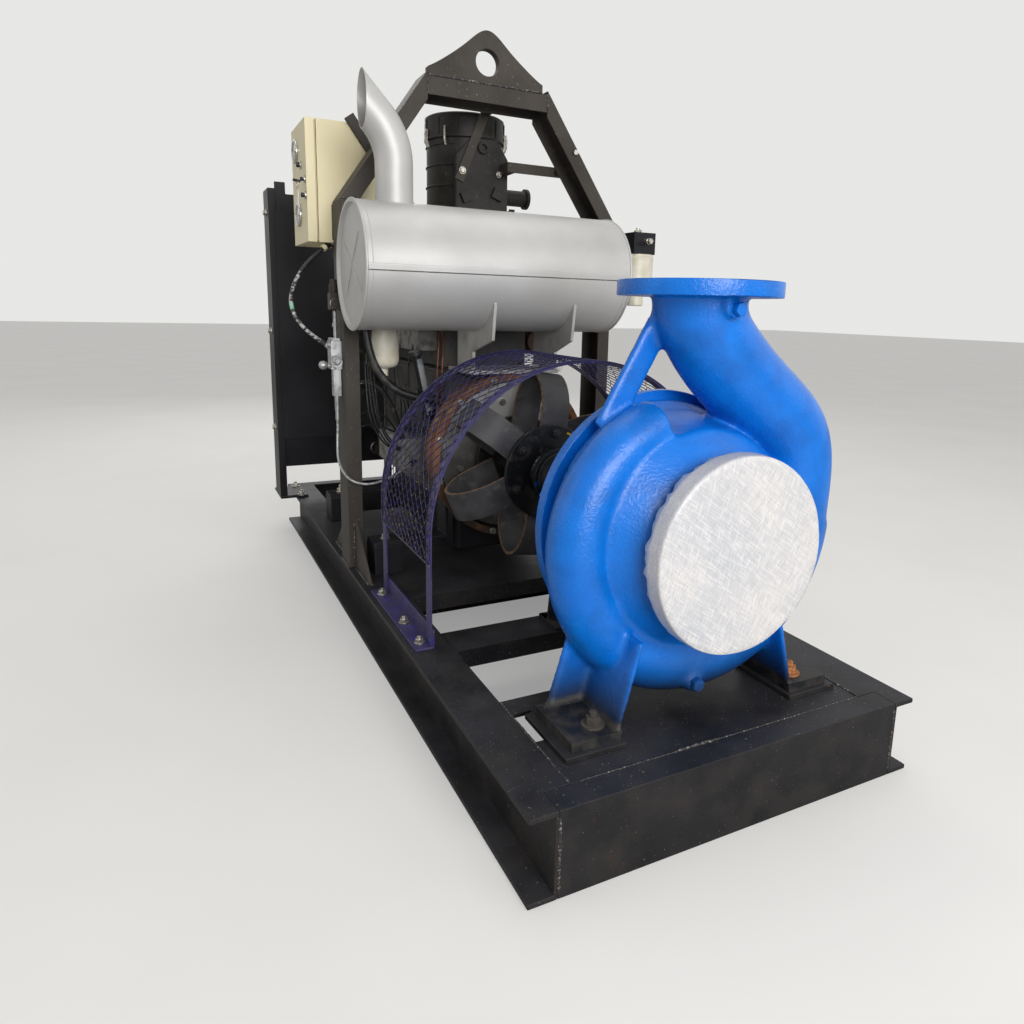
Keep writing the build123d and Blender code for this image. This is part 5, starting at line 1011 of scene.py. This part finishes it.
# Skid: welds where the members meet
bm = bmesh.new()
for hand in (-1, 1):
    inner = hand * 361.6
    weld_bead(bm, (inner, 1.5, 12), (inner, 1.5, 138), 3.4, 11 + hand)
    weld_bead(bm, (hand * 319, 52, 150.2), (hand * 319, 318, 150.2), 2.2, 17 + hand)
    for index, back in enumerate((547, 647, 873, 973)):
        weld_bead(bm, (hand * 318.5, back, 110), (hand * 318.5, back, 148), 2.6, 21 + index + hand)
    for index, (toe, heel) in enumerate(((995, 1148), (1252, 1405))):
        for edge in (-5.5, 5.5):
            across = hand * 388 + edge
            weld_bead(bm, (across, toe, 151), (across, heel, 151), 3.0, 41 + index + hand)
    weld_bead(bm, (hand * 409, 1151, 151), (hand * 409, 1249, 151), 3.2, 61 + hand)
    for index, back in enumerate((1149.5, 1250.5)):
        weld_bead(bm, (hand * 394, back, 160), (hand * 394, back, 284), 3.0, 71 + index + hand)
        weld_bead(bm, (hand * 406, back, 1135), (hand * 371, back, 1135), 2.4, 81 + index + hand)
    weld_bead(bm, (hand * 378, 2004, 158.5), (hand * 446, 2004, 158.5), 3.0, 91 + hand)
weld_bead(bm, (-120, 50.5, 150.2), (-20, 50.5, 150.2), 3.2, 7)
for low, high in (((-300, 50.5, 149.6), (-120, 50.5, 149.6)), ((-20, 50.5, 149.6), (316, 50.5, 149.6))):
    weld_bead(bm, low, high, 1.6, 8)
make_piece(bm, "skid_welds", weld_steel, angle=70)
bm = bmesh.new()
for low, high, seed in (
    ((-174, 1149.6, 1462), (158, 1149.6, 1462), 5), ((-174, 1175.6, 1462), (158, 1175.6, 1462), 6),
    ((-175, 1150, 1418), (-175, 1150, 1458), 9), ((175, 1150, 1418), (175, 1150, 1458), 10),
    ((-175, 1152, 1460.5), (-175, 1248, 1460.5), 14), ((175, 1152, 1460.5), (175, 1248, 1460.5), 15),
):
    weld_bead(bm, low, high, 3.0, seed)
make_piece(bm, "lifting_frame_welds", weld_steel, angle=70)

# Control panel: instruments on the door, latch, gland and the door's seal
DOOR_FACE = -470
PANEL_FRONT, PANEL_FOOT, PANEL_TOP, PANEL_BACK = 1262, 1033, 1343, 1474
bm = bmesh.new()
dials = bmesh.new()
blacks = bmesh.new()
marks = bmesh.new()
for along, up in ((143, 247), (116, 77)):
    centre = (DOOR_FACE, PANEL_FRONT + along, PANEL_FOOT + up)
    turned(bm, [(31, 0), (31.5, 3), (30.5, 6.5), (28.5, 8.2), (26.5, 8.2), (25.5, 5.5)], centre, (-1, 0, 0),
           48, False)
    turned(dials, [(26.5, 5.4), (0, 5.6)], centre, (-1, 0, 0), 48)
    for tick in range(11):
        spoke, aside = around(math.radians(220 - 26 * tick), "yz")
        tick_seat = Vector(centre) + Vector((-5.8, 0, 0))
        prism(marks, [(-0.7, 17), (0.7, 17), (0.7, 23), (-0.7, 23)], tick_seat, aside, spoke, 0.3)
    spoke, aside = around(math.radians(200), "yz")
    needle_seat = Vector(centre) + Vector((-6.2, 0, 0))
    prism(marks, [(-1.2, -5), (1.2, -5), (0.4, 19), (-0.4, 19)], needle_seat, aside, spoke, 0.5)
    turned(marks, [(3, 5.8), (2.5, 7.4), (0, 7.6)], centre, (-1, 0, 0), 16)
for along, up, radius in ((72, 202, 11), (20, 159, 9), (14, 118, 10)):
    centre = (DOOR_FACE, PANEL_FRONT + along, PANEL_FOOT + up)
    turned(bm, [(radius, 0), (radius, 3.5), (radius - 1.5, 5), (radius - 4, 5)], centre, (-1, 0, 0), 28)
    turned(blacks, [(radius - 4, 4), (radius - 4, 11), (radius - 5.5, 13), (0, 13.4)], centre, (-1, 0, 0), 24)
for proud, along, up, radius, thick in ((20, 20, 144, 11, 0.9), (21, 12, 128, 9, 0.8)):
    key_ring = arc_points((DOOR_FACE - proud, PANEL_FRONT + along, PANEL_FOOT + up), 0, 345, radius, "yz", 23)
    run_of(bm, key_ring, thick, 6, loop=True)
prism(bm, [(-5, 0), (5, 0), (4, -34), (-2, -36)], (DOOR_FACE - 19, PANEL_FRONT + 22, PANEL_FOOT + 136),
      (0, 1, 0.1), (0.1, 0, 1), 1.6)
prism(blacks, [(-9, 0), (9, 0), (11, 12), (5, 19), (-5, 19), (-11, 12)],
      (DOOR_FACE - 13, PANEL_FRONT + 21, PANEL_FOOT + 150), (0, 1, 0), (-1, 0, 0.2), 4)
make_piece(bm, "panel_bezels_and_key", chrome_bezel, "panel_door", bevel=0.3)
make_piece(dials, "panel_dials", dial_face, "panel_door", stands_for=("panel_gauges",))
make_piece(marks, "panel_dial_marks", tag_white, "panel_door")
make_piece(blacks, "panel_knobs", dial_plastic, "panel_door")
bm = bmesh.new()
prism(bm, [(-9, 0), (9, 0), (10, -30), (4, -37), (-6, -36), (-11, -27)],
      (DOOR_FACE - 22, PANEL_FRONT + 12, PANEL_FOOT + 121), (0, 1, -0.35), (0.05, 0.35, 1), 1.4)
make_piece(bm, "panel_key_tag", tag_white, "panel_door")
SEAL_ACROSS, SEAL_INSET = -444.6, 4
seal_front, seal_back = PANEL_FRONT + SEAL_INSET, PANEL_BACK - SEAL_INSET
seal_foot, seal_top = PANEL_FOOT + SEAL_INSET, PANEL_TOP - SEAL_INSET
seal_line = [(SEAL_ACROSS, back, up) for back, up in (
    (seal_front, seal_foot), (seal_front, seal_top), (seal_back, seal_top), (seal_back, seal_foot),
    (seal_front + 2, seal_foot))]
bm = bmesh.new()
run_of(bm, rounded_run(seal_line, 6), 1.7, 6)
make_piece(bm, "panel_door_seal", panel_coat, "root")
bm = bmesh.new()
gland_aim = Vector((-30, -5, -27)).normalized()
gland_seat = Vector((-412, 1288, 1033))
for radius, start, end in ((12, 0, 4), (10.5, 4, 13), (8.5, 13, 20), (6.6, 20, 25)):
    turned(bm, [(radius, start), (radius, end - 0.6), (radius - 0.6, end)], gland_seat, gland_aim, 20)
make_piece(bm, "panel_cable_gland", dial_plastic)
bm = bmesh.new()
for across, back in ((-380, 1300), (-392, 1330)):
    run_of(bm, rounded_run([(across, back, 1034), (across - 2, back - 14, 1000), (across + 12, 1262, 940),
                            (across + 16, 1256, 860)], 40), 3.2, 8)
make_piece(bm, "panel_loom", tape_black)

# Tape turns and the mint sleeve along the panel's cable
curve_line = panel_cable.data.copy()
curve_line.bevel_depth = 0
line_object = bpy.data.objects.new("line", curve_line)
bpy.context.scene.collection.objects.link(line_object)
line_mesh = bpy.data.meshes.new_from_object(line_object)
cable_line = [vertex.co.copy() for vertex in line_mesh.vertices]
bpy.data.objects.remove(line_object)


def along_cable(share):
    """The place on the panel cable's line at a share of its length, in workshop millimetres."""
    place = share * (len(cable_line) - 1)
    index = min(int(place), len(cable_line) - 2)
    point = cable_line[index].lerp(cable_line[index + 1], place - index) / MM
    return Vector((point.x, point.y - SKID_FRONT, point.z))


for name, finish, spans in (
    ("cable_tape_turns", tape_black, ((0.0, 0.22), (0.36, 0.372), (0.66, 0.68), (0.78, 0.80), (0.95, 1.0))),
    ("cable_mint_sleeve", mint_sleeve, ((0.52, 0.58),)),
):
    bm = bmesh.new()
    for first, last in spans:
        run_of(bm, [along_cable(first + (last - first) * step / 6) for step in range(7)], 5.5, 16)
    make_piece(bm, name, finish)

# Throttle actuator on the left post: slotted body, rod, T handle, lever, clevis and ferrule
bm = bmesh.new()
turned(bm, [(5, 0), (5, 78), (3.5, 80)], (-420, 1200, 775), (0, 0, 1), 16)
turned(bm, [(7.5, 0), (7.5, 9), (6.5, 10)], (-420, 1200, 812), (0, 0, 1), 20)
turned(bm, [(5.5, 0), (6, 3), (4.2, 6), (4.2, 9), (9, 12), (11.5, 18), (11.8, 22), (9, 29), (0.5, 33)],
       (-434, 1198, 708), (-1, 0, 0.1), 24)
turned(bm, [(15, 0), (15, 4), (11, 7), (11, 13), (8, 15)], (-424, 1182, 722), (0, -1, 0), 28)
hex_head(bm, (-424, 1168, 722), (0, -1, 0), 13, 6)
block(bm, (-434, 1180, 776), (-412, 1226, 782))
for back in (1188, 1218):
    hex_head(bm, (-436, back, 764), (-1, 0, 0), 10, 5, 8, 1.5, back)
turned(bm, [(6.5, 0), (6.5, 3), (5.5, 4), (5.5, 28), (4.5, 30)], (-420, 1200, 591), (0, 0, -1), 16)
run_of(bm, [(-432, 1200, 660), (-408, 1200, 660)], 5, 12)
make_piece(bm, "throttle_fittings", zinc_casting)
bm = bmesh.new()
block(bm, (-434.5, 1178, 856), (-410, 1216, 900))
turned(bm, [(12, 0), (12, 20), (9, 24), (9, 34), (6, 36)], (-422, 1197, 900), (0, 0, 1), 20)
turned(bm, [(14, 0), (14, 9)], (-422, 1178, 872), (0, -1, 0), 24)
make_piece(bm, "throttle_upper_clamp", frame_paint, bevel=1.5)
bm = bmesh.new()
turned(bm, [(15, 0), (15, 3.5), (10, 3.5), (10, 0)], (-422, 1174, 872), (0, -1, 0), 28)
make_piece(bm, "throttle_clamp_ring", chrome_bezel)

# Air filter: hoops and ribs on the canister, clips on the lid, bosses and bolts on its flat face
FILTER_ACROSS, FILTER_BACK, FILTER_FACE = 34, 1430, 1310
bm = bmesh.new()
for up in (1110, 1168, 1226, 1284, 1342):
    run_of(bm, arc_points((FILTER_ACROSS, FILTER_BACK, up), 305, 595, 115.6, "xy", 60), 2.8, 8)
turned(bm, [(118, 0), (122, 3), (122, 9), (118, 12)], (FILTER_ACROSS, FILTER_BACK, 1358), (0, 0, 1), 64,
       False)
turned(bm, [(116, 0), (119, 4), (119, 8), (114, 12), (60, 15), (56, 19), (20, 19), (17, 16), (0, 16)],
       (FILTER_ACROSS, FILTER_BACK, 1417), (0, 0, 1), 64)
for turn in range(0, 360, 30):
    angle = math.radians(turn)
    run_of(bm, [(FILTER_ACROSS + math.cos(angle) * r, FILTER_BACK + math.sin(angle) * r, z)
                for r, z in ((121, 1370), (121, 1416), (112, 1427), (64, 1432))], 2.2, 6)
for across, up, lean in ((-6, 1192, 24), (92, 1204, -22)):
    along, upward = around(math.radians(lean))
    prism(bm, [(-17, -15), (17, -15), (17, 15), (-17, 15)], (across, FILTER_FACE + 2, up), along, upward, 15)
turned(bm, [(17, 0), (17, 8), (15, 10), (10, 10), (10, 2)], (45, FILTER_FACE, 1331), (0, -1, 0), 28, False)
make_piece(bm, "air_filter_ribs", filter_plastic)
bm = bmesh.new()
for turn in (20, 130, 185, 222, 330):
    angle = math.radians(turn)
    spoke = Vector((math.cos(angle), math.sin(angle), 0))
    run_of(bm, [Vector((FILTER_ACROSS, FILTER_BACK, up)) + spoke * reach for up, reach in
                ((1338, 119), (1352, 125), (1372, 126), (1388, 124))], 3.0, 6, flatten=2.2)
for across, up in ((4, 1128), (96, 1132), (98, 1262)):
    hex_head(bm, (across, FILTER_FACE, up), (0, -1, 0), 13, 6, 9, 2, across)
make_piece(bm, "air_filter_clips_and_bolts", plated_steel)
bm = bmesh.new()
for across, back, up, direction in ((-20, 1304, 1262, (0, -1, 0)), (262, 1250, 1276, (0, 1, 0)),
                                    (268, 1152, 1317, (0, -1, 0))):
    hex_head(bm, (across, back, up), direction, 15, 7, 11, 2, up)
make_piece(bm, "bar_bolts", plated_steel)

# Fuel filters: drawn cans with rolled rims and a hexagon foot
bm = bmesh.new()
turned(bm, [(14, -26), (16, -24), (16, -6), (24, -4), (36, 0), (43, 7), (46, 16), (46, 24), (46, 150),
            (47.5, 153), (47.5, 160), (45, 164), (45, 175)], (-296, 1195, 705), (0, 0, 1), 48)
turned(bm, [(20, -38), (24, -36), (24, -6), (30, -3), (44, 0), (49, 5), (50, 9), (48.5, 13), (48.5, 92),
            (50, 95), (50, 102), (47, 105), (47, 110)], (437, 1060, 925), (0, 0, 1), 48)
make_piece(bm, "fuel_filter_cans", filter_enamel, stands_for=("fuel_filters",))
bm = bmesh.new()
hex_head(bm, (-300, 1195, 906), (0, 0, 1), 22, 10, 15, 2, 10)
hex_head(bm, (437, 1060, 1096), (0, 0, 1), 19, 9, 14, 2, 20, 6)
turned(bm, [(9, 0), (9, 22), (6, 24)], (437, 1021, 1070), (0, -1, 0), 20)
hex_head(bm, (437, 997, 1070), (0, -1, 0), 15, 8)
make_piece(bm, "fuel_filter_fittings", plated_steel)

# Radiator: tubes and fins, cap, bolts down the side channels
bm = bmesh.new()
for index in range(76):
    across = -441 + index * 11.76
    block(bm, (across, 2112, 379), (across + 2.4, 2121.4, 1140))
for index in range(128):
    up = 380 + index * 5.95
    block(bm, (-446, 2114, up), (446, 2119.6, up + 0.9))
make_piece(bm, "radiator_tubes_and_fins", core_fins)
bm = bmesh.new()
turned(bm, [(28, 0), (30, 2), (30, 8), (26, 11), (9, 12), (9, 16), (0, 17)], (0, 2085, 1264), (0, 0, 1), 36)
make_piece(bm, "radiator_cap", turned_steel)
bm = bmesh.new()
for hand in (-1, 1):
    for up in (414, 769, 1182):
        hex_head(bm, (hand * 472, 2060, up), (hand, 0, 0), 17, 8, 13, 2.5, up)
    for back in (2010, 2155):
        hex_head(bm, (hand * 395, back, 158), (0, 0, 1), 19, 10, 15, 2.5, back, 6)
make_piece(bm, "radiator_bolts", plated_steel)

# Engine: ribs, bolts, rocker cover ribs, delivery pipes, pulleys and small pipes
ALTERNATOR_ACROSS, ALTERNATOR_UP = 215, 600
bm = bmesh.new()
for hand in (-1, 1):
    for back in (1130, 1280, 1430, 1580, 1690):
        block(bm, (hand * 150 - 5, back, 350), (hand * 150 + 5, back + 12, 690))
    for up in (352, 520, 676):
        block(bm, (hand * 150 - 4, 1070, up), (hand * 150 + 4, 1712, up + 14))
for index in range(11):
    back = 1196 + index * 46
    block(bm, (-74, back, 899), (74, back + 8, 904))
for hand in (-1, 1):
    for index in range(4):
        turned(bm, [(26, 0), (26, 6), (22, 8)], (hand * 150, 1205 + index * 130, 600), (hand, 0, 0), 28)
make_piece(bm, "engine_ribs", engine_enamel_darkened_as_shade, bevel=1.5)
bm = bmesh.new()
for hand in (-1, 1):
    for index in range(9):
        hex_head(bm, (hand * 118, 1185 + index * 62, 820), (0, 0, 1), 13, 8, 9, 1.5, index * 11)
    for index in range(7):
        hex_head(bm, (hand * 138, 1090 + index * 98, 326), (0, 0, -1), 10, 5, 0, 0, index * 7)
bolt_circle(bm, 12, 15, 214, 970, -1, 13, 7, 9, 1.5, 19)
for index in range(4):
    hex_head(bm, (0, 1250 + index * 120, 904), (0, 0, 1), 17, 8, 12, 2, index * 23)
for hand in (-1, 1):
    for back in (1100, 1670):
        hex_head(bm, (hand * 321, back, 242), (0, 0, 1), 19, 10, 14, 2.5, back, 12)
make_piece(bm, "engine_bolts", plated_steel)
bm = bmesh.new()
for index in range(4):
    outlet = 1225 + index * 45
    target = 1250 + index * 130
    run_of(bm, rounded_run([
        (-196, outlet, 500), (-196, outlet, 560 + index * 12), (-212, (outlet + target) / 2, 640),
        (-206, target, 708), (-160, target, 850), (-116, target, 862), (-100, target, 846)], 26), 2.8, 8)
    hex_head(bm, (-196, outlet, 500), (0, 0, 1), 15, 14)
make_piece(bm, "delivery_pipes", blackened_steel)
bm = bmesh.new()
for across in (-166, -152):
    run_of(bm, rounded_run([
        (across, 1112, 560), (across, 1112, 690), (across + 14, 1130, 800), (across + 30, 1190, 836),
        (across + 50, 1230, 838)], 30), 3.2, 10)
make_piece(bm, "copper_return_pipes", copper_pipe)
bm = bmesh.new()
for across, up, radius in ((0, AXIS_UP, 75), (0, 640, 60), (ALTERNATOR_ACROSS, ALTERNATOR_UP, 35)):
    rim, groove, bore = radius + 3, radius - 1.6, radius - 14
    turned(bm, [(bore, 0), (rim, 0), (rim, 2.5), (groove, 4.5), (groove, 24), (rim, 26), (rim, 28.5),
                (bore, 28.5)], (across, 1790.5, up), (0, 1, 0), 48, False)
    hex_head(bm, (across, 1819, up), (0, 1, 0), 24 if radius < 70 else 32, 8, 18, 3)
make_piece(bm, "belt_pulleys", plated_steel)
bm = bmesh.new()
for turn in range(0, 360, 30):
    across, _, up = Vector((ALTERNATOR_ACROSS, 0, ALTERNATOR_UP)) + around(math.radians(turn))[0] * 50
    block(bm, (across - 3, 1650, up - 3), (across + 3, 1653, up + 3))
for back in (1712, 1665):
    turned(bm, [(63, 0), (63, 8)], (ALTERNATOR_ACROSS, back, ALTERNATOR_UP), (0, 1, 0), 40)
make_piece(bm, "alternator_bands", cast_aluminium)
bm = bmesh.new()
turned(bm, [(13, 0), (13, 158), (11, 160)], (-171.5, 1162, 572), (-38.5, 0, 175), 24)
make_piece(bm, "oil_filler_tube", clear_tube)
bm = bmesh.new()
turned(bm, [(18, 0), (19.5, 2), (19.5, 12), (17, 14), (8, 15)], (-210, 1162, 736), (-38.5, 0, 175), 28)
make_piece(bm, "oil_filler_cap", tape_black)
bm = bmesh.new()
turned(bm, [(9, 0), (13, 0), (13.6, 3), (13.6, 12), (12.4, 14)], (174, 1038, 708), (0, 1, 0), 32)
turned(bm, [(4, 0), (9, 1)], (174, 1037, 708), (0, 1, 0), 24)
run_of(bm, [(120, 1062, 712), (162, 1058, 712)], 5, 12)
block(bm, (84, 1054, 710), (124, 1070, 715))
make_piece(bm, "side_pipe_cap", tag_white)
bm = bmesh.new()
for across, back, spread in ((-340, 1160, 6), (-331, 1164, 8), (-346, 1172, 4), (-322, 1170, 5)):
    run_of(bm, rounded_run([
        (across, back, 840), (across - spread, back + 4, 700), (across + spread, back - 4, 560),
        (across + 60, back + 20, 470), (-150, back + 40, 452)], 60), 2.4, 8)
for back, up in ((1180, 620), (1196, 560), (1215, 520)):
    run_of(bm, rounded_run([
        (-398, back, up), (-340, back + 20, up + 18), (-280, back + 46, up + 6), (-236, back + 60, 504)], 30),
        3.0, 8)
make_piece(bm, "engine_wires", tape_black)
bm = bmesh.new()
turned(bm, [(34, 0), (34, 7)], (172, 1171, 775), (0, 1, 0), 32)
for index in range(4):
    back = 1250 + index * 130
    block(bm, (130.4, back - 30, 748), (139, back + 30, 802))
    for step in (-22, 22):
        hex_head(bm, (139, back + step, 775), (1, 0, 0), 13, 8, 0, 0, back)
for up in (822, 831):
    turned(bm, [(50, 0), (50, 8)], (172, 1220, up), (0, 0, 1), 36)
make_piece(bm, "exhaust_flanges", manifold_iron, bevel=0.8)
bm = bmesh.new()
for centre, axis, radius in (((-160, 1430, 832), (0, 0, 1), 39), ((FILTER_ACROSS, 1430, 1040), (0, 0, 1), 39),
                             ((90, 1730, 770), (0, 1, 0), 23), ((-105, 1792, 430), (0, 1, 0), 23),
                             ((90, 2036, 1206), (0, 1, 0), 23), ((-105, 2006, 322), (0, 1, 0), 23)):
    turned(bm, [(radius, 0), (radius + 1, 1), (radius + 1, 11), (radius, 12)], centre, axis, 40)
make_piece(bm, "hose_clips", plated_steel)

# Floor, backdrop and light: a plain pale room
floor_mesh = bpy.data.meshes.new("floor")
FLOOR_REACH = 30
floor_corners = [(x * FLOOR_REACH, y * FLOOR_REACH, -0.0005) for x, y in ((-1, -1), (1, -1), (1, 1), (-1, 1))]
floor_mesh.from_pydata(floor_corners, [], [(0, 1, 2, 3)])
floor = bpy.data.objects.new("floor", floor_mesh)
bpy.context.scene.collection.objects.link(floor)
pale_floor = surface("pale_floor", "#c4c2be", 0.85, layers=[
    patches("#bebcb8", 600, 0.5, 0.2, rough=0.85),
])
floor_tree = pale_floor.node_tree
floor_shader = floor_tree.nodes["Principled BSDF"]
floor_shader.inputs["Emission Color"].default_value = linear("#ffffff")
floor_seen = add_node(floor_tree, "ShaderNodeLightPath").outputs["Is Camera Ray"]
floor_lift = add_node(floor_tree, "ShaderNodeMapRange", {"Value": floor_seen, "To Max": 0.27}).outputs[0]
floor_tree.links.new(floor_lift, floor_shader.inputs["Emission Strength"])
floor_mesh.materials.append(pale_floor)

world = bpy.data.worlds.new("room")
bpy.context.scene.world = world
world.use_nodes = True
sky = world.node_tree
background = sky.nodes["Background"]
background.inputs["Color"].default_value = linear("#eeeeec")
seen = add_node(sky, "ShaderNodeLightPath")
seen_or_mirrored = add_node(sky, "ShaderNodeMath", {
    0: seen.outputs["Is Camera Ray"], 1: seen.outputs["Is Glossy Ray"]}, operation="MAXIMUM").outputs[0]
strength = add_node(sky, "ShaderNodeMapRange", {
    "Value": seen_or_mirrored, "To Min": 0.42, "To Max": 0.94}).outputs[0]
sky.links.new(strength, background.inputs["Strength"])


def add_softbox(name, place, target, width, height, watts):
    """A rectangular lamp at a place, turned to face its target."""
    lamp = bpy.data.lights.new(name, "AREA")
    lamp.shape = "RECTANGLE"
    lamp.size, lamp.size_y = width, height
    lamp.energy = watts
    box = bpy.data.objects.new(name, lamp)
    box.location = place
    box.rotation_euler = (Vector(target) - Vector(place)).to_track_quat("-Z", "Y").to_euler()
    bpy.context.scene.collection.objects.link(box)


add_softbox("key", (-0.5, -4.4, 1.8), (0, -0.4, 0.7), 2.6, 1.8, 138)
add_softbox("front_right", (2.6, -3.0, 2.4), (0, -0.4, 0.6), 1.8, 2.0, 16)
add_softbox("top", (0.4, 0.2, 4.2), (0, 0.2, 0.6), 2.6, 2.6, 34)
add_softbox("back", (0.6, 4.0, 2.8), (0, 0.4, 0.7), 2.4, 2.0, 40)
add_softbox("left", (-3.8, 0.6, 2.2), (0, 0.2, 0.6), 1.8, 2.0, 8)
